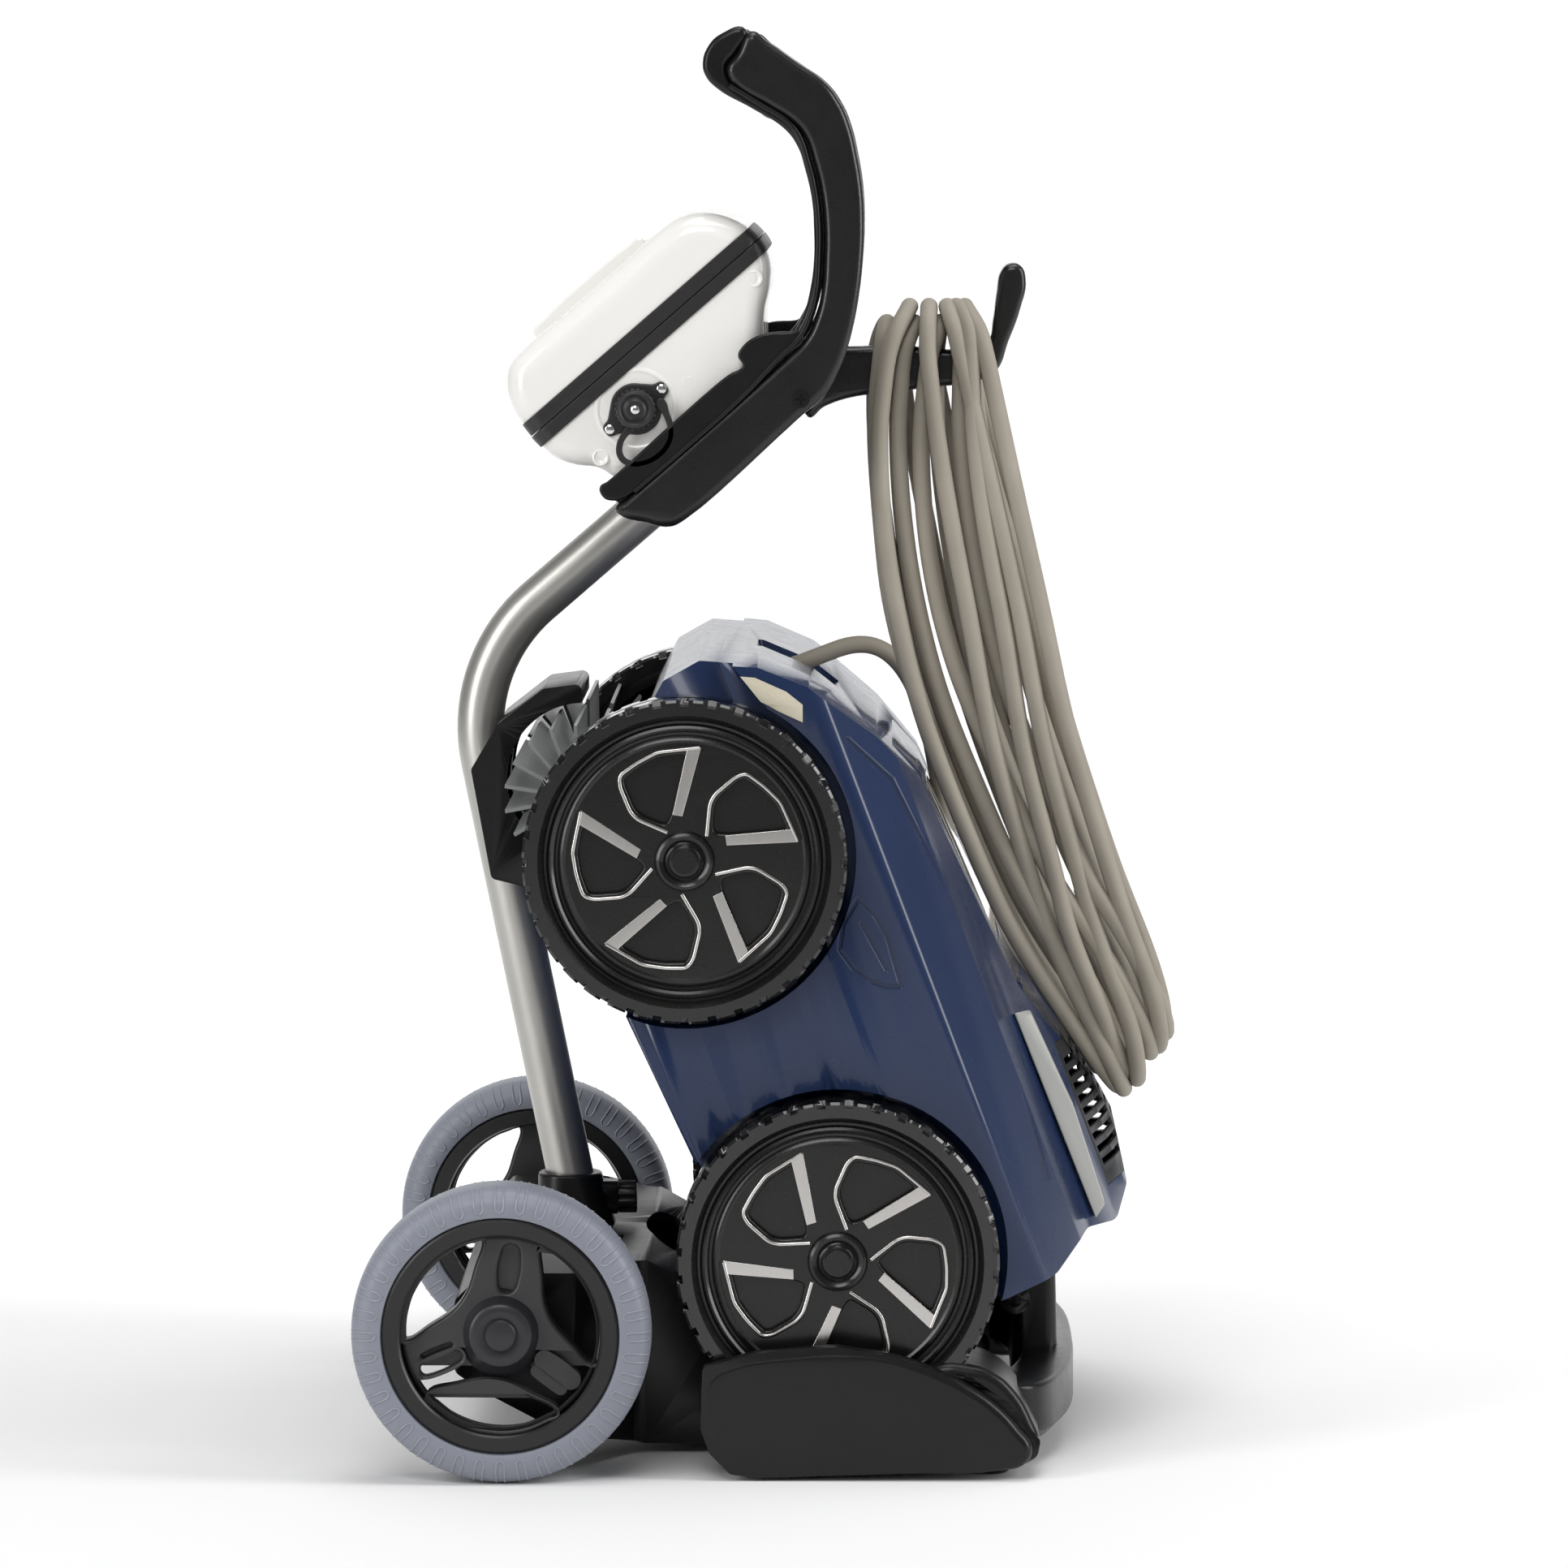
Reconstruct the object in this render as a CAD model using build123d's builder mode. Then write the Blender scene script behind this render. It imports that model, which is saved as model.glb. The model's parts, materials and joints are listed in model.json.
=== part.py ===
"""Robotic pool cleaner parked nose-up on its two-wheeled caddy, with its control box and cable.

Millimetres.  +Z is up, +X points from the caddy wheels to the bumper, the ground is Z = 0 and
the origin lies under the middle of the object.  The cleaner has a frame of its own: x towards
its nose, z out through its lid, tipped up by robot_pitch.  The control box lies on a slope.
"""

import os
from math import asin, cos, degrees, hypot, pi, radians, sin, tan

from build123d import *

# ------------------------------------------------------------------ driving dimensions
wall = 3.0                  # moulded wall of the housings
running_gap = 0.05          # radial play of a shaft in its bore
part_gap = 0.4              # air between two parts that move past each other

caddy_wheel_radius = 86.0
caddy_wheel_width = 45.0
caddy_track = 470.0         # between the two wheel centre planes
caddy_axle_x = -139.0
caddy_rim_radius = 67.5
axle_radius = 8.0

tube_radius = 14.0
tube_foot = (-100.0, 100.0)     # lower end of the tube, in the base
tube_corner = (-171.7, 451.0)   # where its two straight runs would meet
tube_slope = 40.8
tube_slope_length = 187.0
tube_bend_radius = 100.0

deck_top = 114.0
deck_half_width = 200.0
trough_outer = 240.0            # outer face of the wheel troughs
trough_inner = 150.0

robot_wheel_radius = 93.0
robot_wheel_width = 45.0
robot_half_track = 202.5        # middle of a wheel
wheelbase = 247.0
robot_pitch = 110.8
rear_wheel_at = (53.4, 123.8)   # axle of the wheels resting in the troughs
robot_half_width = 204.0
hull_split = 150.0              # height of the seam between the two shells

brush_at = (176.0, 45.0)
brush_radius = 42.0
brush_core_radius = 15.0
brush_inner = 16.0
brush_outer = 176.0

box_at = (-60.0, 645.0)
box_slope = 41.0
box_half_width = 104.0
cradle_half_width = 112.0
arm_inner = 80.0                # half the clear width of the handle loop

cable_radius = 5.25
hook_half_width = 13.0

# ------------------------------------------------------------------ frames
pitch_cos, pitch_sin = cos(radians(robot_pitch)), sin(radians(robot_pitch))
box_cos, box_sin = cos(radians(box_slope)), sin(radians(box_slope))
robot_origin = (
    rear_wheel_at[0] + pitch_cos * wheelbase / 2 - pitch_sin * robot_wheel_radius,
    rear_wheel_at[1] + pitch_sin * wheelbase / 2 + pitch_cos * robot_wheel_radius,
)


def robot_point(x, z, y=0.0):
    """World position of a point of the cleaner's own frame."""
    return (
        robot_origin[0] + x * pitch_cos + z * pitch_sin,
        y,
        robot_origin[1] + x * pitch_sin - z * pitch_cos,
    )


def box_point(along, out, y=0.0):
    """World position of a point of the control box's sloping frame."""
    return (
        box_at[0] + along * box_cos - out * box_sin,
        y,
        box_at[1] + along * box_sin + out * box_cos,
    )


def flat(points):
    """The X and Z of a list of world points, for a sketch on a side plane."""
    return [(p[0], p[2]) for p in points]


def side(y=0.0):
    """Side view of the caddy; material grows towards -Y."""
    return Plane(origin=(0, y, 0), x_dir=(1, 0, 0), z_dir=(0, -1, 0))


def robot_side(y=0.0):
    """Side view in the cleaner's frame; material grows towards +Y."""
    return Plane(origin=robot_point(0, 0, y), x_dir=(pitch_cos, 0, pitch_sin), z_dir=(0, 1, 0))


def robot_plan(z=0.0):
    """Plan view in the cleaner's frame; material grows out through the lid."""
    return Plane(
        origin=robot_point(0, z),
        x_dir=(pitch_cos, 0, pitch_sin),
        z_dir=(pitch_sin, 0, -pitch_cos),
    )


def robot_front(x=0.0):
    """Front view in the cleaner's frame: x across, y up; material grows towards the nose."""
    return Plane(origin=robot_point(x, 0), x_dir=(0, -1, 0), z_dir=(pitch_cos, 0, pitch_sin))


def box_side(y=0.0):
    """Side view in the control box's frame; material grows towards -Y."""
    return Plane(origin=box_point(0, 0, y), x_dir=(box_cos, 0, box_sin), z_dir=(0, -1, 0))


def box_plan(out=0.0):
    """Plan view in the control box's frame; material grows away from the cradle."""
    return Plane(
        origin=box_point(0, out), x_dir=(box_cos, 0, box_sin), z_dir=(-box_sin, 0, box_cos)
    )


def across(x, z, y=0.0, radius=5.0, length=10.0):
    """A round bar along Y, from y to y + length."""
    with BuildPart() as bar:
        with BuildSketch(Plane(origin=(x, y, z), x_dir=(1, 0, 0), z_dir=(0, 1, 0))):
            Circle(radius)
        extrude(amount=length)
    return bar.part


def side_block(points, half_width, rounding=0.0, inset=0.0, plane=None, inner=0.0):
    """A side outline carried across to both sides, or to one side only when inner is given."""
    with BuildPart() as block:
        with BuildSketch(plane or side(-inner)):
            with BuildLine():
                Polyline(*points, close=True)
            make_face()
            if rounding:
                fillet(vertices(), rounding)
            if inset:
                offset(amount=-inset)
        if inner:
            extrude(amount=half_width - inner)
        else:
            extrude(amount=half_width, both=True)
    return block.part


def mirrored(part):
    """The same part on the other side of the middle plane."""
    with BuildPart() as other:
        mirror(part, about=Plane.XZ)
    return other.part


pieces = []


def piece(part, label):
    part.label = label
    pieces.append(part)
    return part


# ------------------------------------------------------------------ caddy base
deck_outline = [
    (-168, 56), (-168, 98), (-152, deck_top), (-58, deck_top), (-40, 104), (-22, 66),
    (0, 44), (30, 28), (134, 28), (146, 20), (146, 6), (-60, 6), (-112, 24), (-150, 44),
]
deck_plan = [
    (-172, -deck_half_width), (-96, -deck_half_width), (-64, -trough_inner), (152, -trough_inner),
    (152, trough_inner), (-64, trough_inner), (-96, deck_half_width), (-172, deck_half_width),
]


def deck_form(inset):
    with BuildPart() as form:
        with BuildSketch(side()):
            with BuildLine():
                Polyline(*deck_outline, close=True)
            make_face()
            fillet(vertices(), 5)
            if inset:
                offset(amount=-inset)
        extrude(amount=deck_half_width + 10, both=True)
        with BuildSketch(Plane.XY.offset(-5)):
            with BuildLine():
                Polyline(*deck_plan, close=True)
            make_face()
            fillet(vertices(), 8)
            if inset:
                offset(amount=-inset)
        extrude(amount=deck_top + 20, mode=Mode.INTERSECT)
    return form.part


def tube_run(radius, start=0.0, length=60.0):
    """A bar along the lower straight run of the tube, measured from its foot."""
    lean = (tube_corner[0] - tube_foot[0], tube_corner[1] - tube_foot[1])
    size = hypot(*lean)
    way = (lean[0] / size, lean[1] / size)
    at = (tube_foot[0] + way[0] * start, 0, tube_foot[1] + way[1] * start)
    with BuildPart() as bar:
        with BuildSketch(Plane(origin=at, x_dir=(0, 1, 0), z_dir=(way[0], 0, way[1]))):
            Circle(radius)
        extrude(amount=length)
    return bar.part


def make_base_deck():
    with BuildPart() as deck:
        add(deck_form(0))
        add(deck_form(4), mode=Mode.SUBTRACT)
        with BuildSketch(Plane.XY):
            with Locations((40, 0)):
                RectangleRounded(180, 2 * trough_inner - 30, 12)
        extrude(amount=14, mode=Mode.SUBTRACT)
        with BuildSketch(Plane.XY.offset(deck_top - 20)):
            with Locations((-46, 0)):
                Ellipse(17, 62)
        extrude(amount=30, mode=Mode.SUBTRACT)
        add(across(caddy_axle_x, caddy_wheel_radius, -deck_half_width, axle_radius + 8,
                   2 * deck_half_width))
        add(tube_run(tube_radius + 4, -8, 17))
        add(across(caddy_axle_x, caddy_wheel_radius, -deck_half_width - 1,
                   axle_radius + running_gap, 2 * deck_half_width + 2), mode=Mode.SUBTRACT)
        add(tube_run(tube_radius + running_gap, 0, 60), mode=Mode.SUBTRACT)
    return deck.part


trough_outline = [
    (-24, 66), (6, 74), (52.6, 78), (85, 72.5), (113, 63), (141, 44), (160, 24), (162, 12),
    (131, 6), (6, 2), (-8, 4), (-20, 16), (-25, 30),
]
fender_outline = [
    (-20, 56), (10, 62), (60, 66), (100, 66), (128, 60), (152, 44), (170, 22), (168, 12),
    (131, 8), (6, 6), (-8, 8), (-20, 20),
]
foot_at = (143.0, 208.0)
foot_radius = 10.0
foot_height = 9.0


def wheel_well(radius, near, far):
    """Room for a resting wheel, between two distances from the middle plane."""
    return across(*rear_wheel_at, -far, radius, far - near)


def make_trough():
    cheek = 229.0
    with BuildPart() as trough:
        add(side_block(trough_outline, trough_outer, 4, inner=cheek))
        add(side_block(fender_outline, cheek, 4, inner=trough_inner))
        cut = [side_block(trough_outline, trough_outer - 4, 3, inset=4, inner=cheek - 4),
               side_block(fender_outline, cheek + 1, 3, inset=4, inner=trough_inner + 4)]
        for part in cut:
            add(part, mode=Mode.SUBTRACT)
        floor = wheel_well(robot_wheel_radius + part_gap + 4, 172, cheek + 4)
        add(floor & (side_block(fender_outline, trough_outer - 4, 3, inset=1, inner=trough_inner)))
        add(wheel_well(robot_wheel_radius + part_gap, 176, cheek), mode=Mode.SUBTRACT)
        with BuildSketch(Plane.XY):
            with Locations((60, -196)):
                RectangleRounded(120, 62, 10)
        extrude(amount=12, mode=Mode.SUBTRACT)
        with BuildSketch(Plane.XY.offset(foot_height)):
            with Locations((foot_at[0], -foot_at[1])):
                Circle(foot_radius + 4)
        extrude(amount=12)
        with BuildSketch(Plane.XY):
            with Locations((foot_at[0], -foot_at[1])):
                Circle(foot_radius + running_gap)
        extrude(amount=foot_height, mode=Mode.SUBTRACT)
    return trough.part


def make_feet():
    with BuildPart() as feet:
        with BuildSketch(Plane.XY):
            with Locations((foot_at[0], -foot_at[1]), (foot_at[0], foot_at[1])):
                Circle(foot_radius)
        extrude(amount=foot_height)
        fillet(feet.edges().group_by(Axis.Z)[0], 4)
    return feet.part


bumper_plan = [
    (146, -196), (164, -190), (182, -150), (191, -90), (193.4, 0), (191, 90), (182, 150),
    (164, 190), (146, 196), (146, 150), (158, 100), (160, 0), (158, -100), (146, -150),
]
post_at = (170.0, 97.0)
pivot_at = (158.0, 78.0)


def make_front_rail():
    with BuildPart() as rail:
        with BuildSketch(Plane.XY.offset(14)):
            with BuildLine():
                Spline(*bumper_plan[:9])
                Line(bumper_plan[8], bumper_plan[9])
                Spline(*bumper_plan[9:])
                Line(bumper_plan[13], bumper_plan[0])
            make_face()
        extrude(amount=34)
        chamfer(rail.edges().group_by(Axis.Z)[0], 6)
        fillet(rail.edges().group_by(Axis.Z)[-1], 3)
        with BuildSketch(Plane.XY.offset(30)):
            with Locations((post_at[0], 0)):
                RectangleRounded(28, 112, 8)
        extrude(amount=post_at[1] - 30, taper=1.5)
        fillet(rail.edges().group_by(Axis.Z)[-1], 3)
        with BuildSketch(Plane.XY.offset(10)):
            with Locations((post_at[0], 0)):
                RectangleRounded(20, 104, 5)
        extrude(amount=post_at[1] - 14, taper=1.5, mode=Mode.SUBTRACT)
        for y in (-66.0, 54.0):
            add(across(*pivot_at, y, 9, 12))
        for y in (-70.0, 66.0):
            add(across(*pivot_at, y, 4, 4))
        split(bisect_by=Plane.XY.offset(10), keep=Keep.TOP)
        add(side_block(trough_outline, trough_outer + 1, 0, inner=trough_inner - 1),
            mode=Mode.SUBTRACT)
        add(side_block(fender_outline, trough_outer + 1, 0, inner=trough_inner - 1),
            mode=Mode.SUBTRACT)
        add(mirrored(side_block(trough_outline, trough_outer + 1, 0, inner=trough_inner - 1)),
            mode=Mode.SUBTRACT)
        add(mirrored(side_block(fender_outline, trough_outer + 1, 0, inner=trough_inner - 1)),
            mode=Mode.SUBTRACT)
    return rail.part


# ------------------------------------------------------------------ caddy frame
def tube_bar(radius, bore=0.0):
    slope = (cos(radians(tube_slope)), sin(radians(tube_slope)))
    end = (tube_corner[0] + slope[0] * tube_slope_length,
           tube_corner[1] + slope[1] * tube_slope_length)
    lean = (tube_corner[0] - tube_foot[0], tube_corner[1] - tube_foot[1])
    size = hypot(*lean)
    with BuildPart() as tube:
        with BuildLine(side()) as path:
            FilletPolyline(tube_foot, tube_corner, end, radius=tube_bend_radius)
        start = Plane(origin=(tube_foot[0], 0, tube_foot[1]), x_dir=(0, 1, 0),
                      z_dir=(lean[0] / size, 0, lean[1] / size))
        with BuildSketch(start):
            Circle(radius)
            if bore:
                Circle(bore, mode=Mode.SUBTRACT)
        sweep(path=path.wires()[0])
    return tube.part


def make_tube():
    return tube_bar(tube_radius, tube_radius - 2)


collar_top = 145.0
knob_at = 130.0


def tube_x(z):
    """Where the lower run of the tube stands at a height."""
    return tube_foot[0] + (z - tube_foot[1]) * (tube_corner[0] - tube_foot[0]) / (
        tube_corner[1] - tube_foot[1])


def make_collar():
    with BuildPart() as collar:
        with BuildSketch(Plane.XY.offset(deck_top)):
            with Locations((tube_x(deck_top) - 2, 0)):
                RectangleRounded(46, 44, 16)
        with BuildSketch(Plane.XY.offset(collar_top)):
            with Locations((tube_x(collar_top), 0)):
                RectangleRounded(38, 38, 17)
        loft()
        with BuildSketch(Plane.YZ.offset(tube_x(knob_at) + 12)):
            with Locations((0, knob_at)):
                RectangleRounded(20, 20, 5)
        extrude(amount=14)
        fillet(collar.edges().group_by(Axis.Z)[-1], 2)
        add(tube_bar(tube_radius + running_gap), mode=Mode.SUBTRACT)
        with BuildSketch(Plane.YZ.offset(tube_x(knob_at) + 10)):
            with Locations((0, knob_at)):
                Circle(3 + running_gap)
        extrude(amount=20, mode=Mode.SUBTRACT)
    return collar.part


def make_clamp_knob():
    face = tube_x(knob_at) + 26 + part_gap
    with BuildPart() as knob:
        with BuildSketch(Plane.YZ.offset(face)):
            with Locations((0, knob_at)):
                Circle(10)
                with PolarLocations(11.5, 8):
                    Circle(2.8, mode=Mode.SUBTRACT)
        extrude(amount=11)
        fillet(knob.faces().sort_by(Axis.X)[-1].edges(), 0.8)
        with BuildSketch(Plane.YZ.offset(face - 9)):
            with Locations((0, knob_at)):
                Circle(3)
        extrude(amount=9.5)
    return knob.part


saddle_outline = [
    (-165, 393), (-149, 420), (-122, 441), (-99, 444), (-99, 380), (-128, 322), (-153, 328),
]
saddle_half_width = 57.0


def make_saddle():
    centre = robot_point(*brush_at)
    with BuildPart() as saddle:
        add(side_block(saddle_outline, saddle_half_width, 4))
        add(across(centre[0], centre[2], -70, brush_radius + 4, 140), mode=Mode.SUBTRACT)
        add(side_block(saddle_outline, saddle_half_width - 4, 3, inset=4), mode=Mode.SUBTRACT)
        add(tube_run(tube_radius + 5, 200, 160)
            & side_block(saddle_outline, saddle_half_width, 4))
        add(across(centre[0], centre[2], -70, brush_radius + 4, 140), mode=Mode.SUBTRACT)
        add(tube_bar(tube_radius + running_gap), mode=Mode.SUBTRACT)
    return saddle.part


def make_axle():
    with BuildPart() as axle:
        add(across(caddy_axle_x, caddy_wheel_radius, -caddy_track / 2 - 18, axle_radius,
                   caddy_track + 36))
        chamfer(axle.edges(), 0.8)
    return axle.part


# ------------------------------------------------------------------ caddy wheels
def near_wheel_plane(back=0.0):
    """On the near wheel: outward is -Y, zero at its centre plane."""
    return Plane(origin=(caddy_axle_x, -caddy_track / 2 + back, caddy_wheel_radius),
                 x_dir=(1, 0, 0), z_dir=(0, -1, 0))


def around(plane):
    """The plane of a turned profile: x is the radius, y runs along the axle."""
    return Plane(origin=plane.origin, x_dir=plane.x_dir, z_dir=plane.y_dir)


def turned(points, plane, rounding=0.0):
    """A closed outline of (radius, along) points turned about the plane's normal."""
    profile = Plane(origin=plane.origin, x_dir=plane.x_dir, z_dir=-plane.y_dir)
    with BuildPart() as body:
        with BuildSketch(profile):
            with BuildLine():
                Polyline(*points, close=True)
            make_face()
            if rounding:
                fillet(vertices(), rounding)
        revolve(axis=Axis(plane.origin, plane.z_dir))
    return body.part


def make_caddy_tyre():
    half = caddy_wheel_width / 2
    outer = caddy_wheel_radius
    bead = caddy_rim_radius
    with BuildPart() as tyre:
        add(turned([(bead, -half + 4), (bead + 4, -half), (outer - 7, -half), (outer - 1.5, -half + 7),
                    (outer, 0), (outer - 1.5, half - 7), (outer - 7, half), (bead + 4, half),
                    (bead, half - 4)], near_wheel_plane(), 2))
        for back in (-half - 0.5, half + 0.5):
            with BuildSketch(near_wheel_plane(back)):
                with PolarLocations(outer - 7, 45):
                    SlotOverall(9, 3.6)
            extrude(amount=2.0 if back > 0 else -2.0, mode=Mode.SUBTRACT)
    return tyre.part


def make_caddy_rim():
    half = caddy_wheel_width / 2
    bead = caddy_rim_radius
    with BuildSketch() as opening:
        with BuildLine():
            ThreePointArc((42, -37), (28, 0), (42, 37))
            ThreePointArc((42, 37), (bead - 11, 0), (42, -37))
        make_face()
        fillet(opening.vertices(), 3)
    with BuildPart() as rim:
        add(turned([(bead, -half + 4), (bead - 10, -half + 4), (bead - 10, -half + 12),
                    (bead - 8, 0), (bead - 10, half - 12), (bead - 10, half - 2), (bead, half - 2)],
                   near_wheel_plane(), 1))
        with BuildSketch(near_wheel_plane(-6)):
            Circle(bead - 8.5)
            with PolarLocations(0, 3, start_angle=23):
                add(opening.sketch, mode=Mode.SUBTRACT)
        extrude(amount=10)
        with BuildSketch(near_wheel_plane(16)):
            Circle(18)
        extrude(amount=35)
        with BuildSketch(near_wheel_plane(-17)):
            with PolarLocations(40, 3, start_angle=83):
                with Locations((0, 6), (0, -6)):
                    SlotOverall(26, 5)
        extrude(amount=4, mode=Mode.SUBTRACT)
        with BuildSketch(near_wheel_plane(20)):
            Circle(axle_radius + running_gap)
        extrude(amount=60, mode=Mode.SUBTRACT)
    return rim.part


def make_caddy_cap():
    with BuildPart() as cap:
        with BuildSketch(near_wheel_plane(-19)):
            Circle(13)
        extrude(amount=2.5)
        with BuildSketch(near_wheel_plane(-21.5)):
            Circle(9)
        extrude(amount=1.5)
        fillet(cap.faces().sort_by(Axis.Y)[0].edges(), 0.7)
    return cap.part


# ------------------------------------------------------------------ handle and cradle
def cradle_side():
    """Lower and upper outline of cradle and arms, and the seam between their two mouldings."""
    lower = flat([box_point(*p) for p in (
        (-74, -58), (-67, -74), (-57, -85), (-46, -88.3), (44, -88.3))])
    back = [(57.5, 636), (64.4, 664.3), (67.8, 707.7), (62.9, 755.9), (50.8, 787.2),
            (31.5, 807.9), (-9.5, 829), (-20, 826), (-26.9, 811), (-19.2, 795.4)]
    front = [(17, 772.8), (29.1, 760.7), (37.8, 731.8), (38.8, 698.1), (34, 664)]
    rim = flat([box_point(*p) for p in ((62, -48), (44, -50), (-70, -50), (-75, -53))])
    seam_low = flat([box_point(*p) for p in ((-80, -57), (44, -57), (66, -55))])
    seam_high = [(42, 662), (48, 698), (46.5, 733), (37, 764), (23, 780), (-2, 795), (-40, 819)]
    return lower, back, front, rim, seam_low, seam_high


def handle_form():
    """Both mouldings as one: cradle block, two arms and the cross grip."""
    lower, back, front, rim, seam_low, seam_high = cradle_side()
    with BuildPart() as form:
        with BuildSketch(side()):
            with BuildLine():
                Polyline(*(lower + back + front + rim), close=True)
            make_face()
            fillet(vertices(), 2.5)
        extrude(amount=cradle_half_width, both=True)
        loop = [(10, 668), (90, 640), (90, 770), (52, 800), (22, 775), (8, 760)]
        with BuildSketch(side()):
            with BuildLine():
                Polyline(*loop, close=True)
            make_face()
            fillet(vertices(), 6)
        extrude(amount=arm_inner, both=True, mode=Mode.SUBTRACT)
        pocket = flat([box_point(*p) for p in (
            (-70, -40), (-68, -49), (-58, -55.5), (46, -55.5), (58, -44), (72, -30), (86, -18),
            (86, -10), (-70, -10))])
        with BuildSketch(side()):
            with BuildLine():
                Polyline(*pocket, close=True)
            make_face()
        extrude(amount=box_half_width + 3.5, both=True, mode=Mode.SUBTRACT)
    return form.part


def tray_side():
    """Everything on the tray side of the seam."""
    lower, back, front, rim, seam_low, seam_high = cradle_side()
    line = [(seam_low[0][0] - 60, seam_low[0][1] - 52)] + seam_low + seam_high
    with BuildPart() as region:
        with BuildSketch(side()):
            with BuildLine():
                Polyline(*line, (-90, 790), (-150, 640), close=True)
            make_face()
        extrude(amount=200, both=True)
    return region.part


def slope_end():
    return (tube_corner[0] + cos(radians(tube_slope)) * tube_slope_length,
            tube_corner[1] + sin(radians(tube_slope)) * tube_slope_length)


def upper_run(radius, back, length):
    """A bar along the upper run of the tube, from back behind its end."""
    end = slope_end()
    way = (cos(radians(tube_slope)), sin(radians(tube_slope)))
    at = (end[0] - way[0] * back, 0, end[1] - way[1] * back)
    with BuildPart() as bar:
        with BuildSketch(Plane(origin=at, x_dir=(0, 1, 0), z_dir=(way[0], 0, way[1]))):
            Circle(radius)
        extrude(amount=length)
    return bar.part


def make_cradle_shell(form):
    with BuildPart() as shell:
        add(form)
        add(tray_side(), mode=Mode.SUBTRACT)
        hollow = flat([box_point(*p) for p in (
            (-68, -55), (-65, -71), (-55, -81), (-45, -84.3), (42, -84.3), (58, -76), (58, -55))])
        with BuildSketch(side()):
            with BuildLine():
                Polyline(*hollow, close=True)
            make_face()
        extrude(amount=cradle_half_width - 4, both=True, mode=Mode.SUBTRACT)
        add(upper_run(tube_radius + running_gap, 120, 120), mode=Mode.SUBTRACT)
    return shell.part


def make_cradle_tray(form):
    with BuildPart() as tray:
        add(form)
        add(tray_side(), mode=Mode.INTERSECT)
        floor = flat([box_point(*p) for p in (
            (-60, -56), (44, -56), (44, -58.7), (-60, -58.7))])
        with BuildSketch(side()):
            with BuildLine():
                Polyline(*floor, close=True)
            make_face()
        extrude(amount=cradle_half_width - 4.5, both=True)
        add(upper_run(tube_radius + part_gap, 120, 120), mode=Mode.SUBTRACT)
    return tray.part


hook_outline = [
    (60, 640), (84, 642.5), (141, 641), (149, 652), (153.5, 688), (157.5, 692), (163.6, 688),
    (164, 676), (158, 640), (147, 625), (120, 620), (84, 614), (52, 612), (40, 606),
]


def make_hook(form):
    with BuildPart() as hook:
        add(side_block(hook_outline, hook_half_width, 2))
        add(form, mode=Mode.SUBTRACT)
    solids = hook.part.solids().sort_by(Axis.X)
    with BuildPart() as largest:
        add(solids[-1])
    return largest.part


def make_screws():
    """Cross-head screws of the cradle, the hook and the deck."""
    with BuildPart() as screws:
        for x, z, y in ((31.1, 614.5, -1), (31.1, 614.5, 1)):
            at = Plane(origin=(x, y * cradle_half_width, z), x_dir=(1, 0, 0), z_dir=(0, y, 0))
            with BuildSketch(at):
                Circle(5)
            extrude(amount=2)
            with BuildSketch(at.offset(2)):
                Rectangle(6, 1.2)
                Rectangle(1.2, 6)
            extrude(amount=-1, mode=Mode.SUBTRACT)
        for x, y in ((-80, -58), (-80, 58), (-122, -58), (-122, 58)):
            at = Plane.XY.offset(deck_top)
            with BuildSketch(at):
                with Locations((x, y)):
                    Circle(5)
            extrude(amount=1.6)
            with BuildSketch(at.offset(1.6)):
                with Locations((x, y)):
                    Rectangle(6, 1.2)
                    Rectangle(1.2, 6)
            extrude(amount=-1, mode=Mode.SUBTRACT)
    return screws.part


# ------------------------------------------------------------------ cleaner housing
hull_outline = [
    (-160, 56), (-48.6, 36), (53.4, 28), (116, 34), (127, 46), (129, 90), (176, 93), (206, 98),
    (222, 116), (225.6, 139.9), (211.2, 170.8), (189.5, 193.7), (147, 219.3), (113.3, 232.5),
    (72.9, 235.4), (-24.2, 243), (-71.3, 256.6), (-102.6, 263.1), (-127.8, 266.7),
    (-162.6, 261.4), (-176.2, 248.5), (-168, 232), (-180, 207.6), (-181.2, 175.3), (-176, 110),
]
hull_section = [
    (-190, 10), (-204, 40), (-204, 150), (-190, 200), (-150, 226), (-110, 241), (-60, 260),
    (0, 272), (60, 260), (110, 241), (150, 226), (190, 200), (204, 150), (204, 40), (190, 10),
]
arch_inner = 177.0
arch_radius = robot_wheel_radius + 5
notch = (172.0, 26.0, 168.0)        # back face, half width and floor of the cable notch


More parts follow.
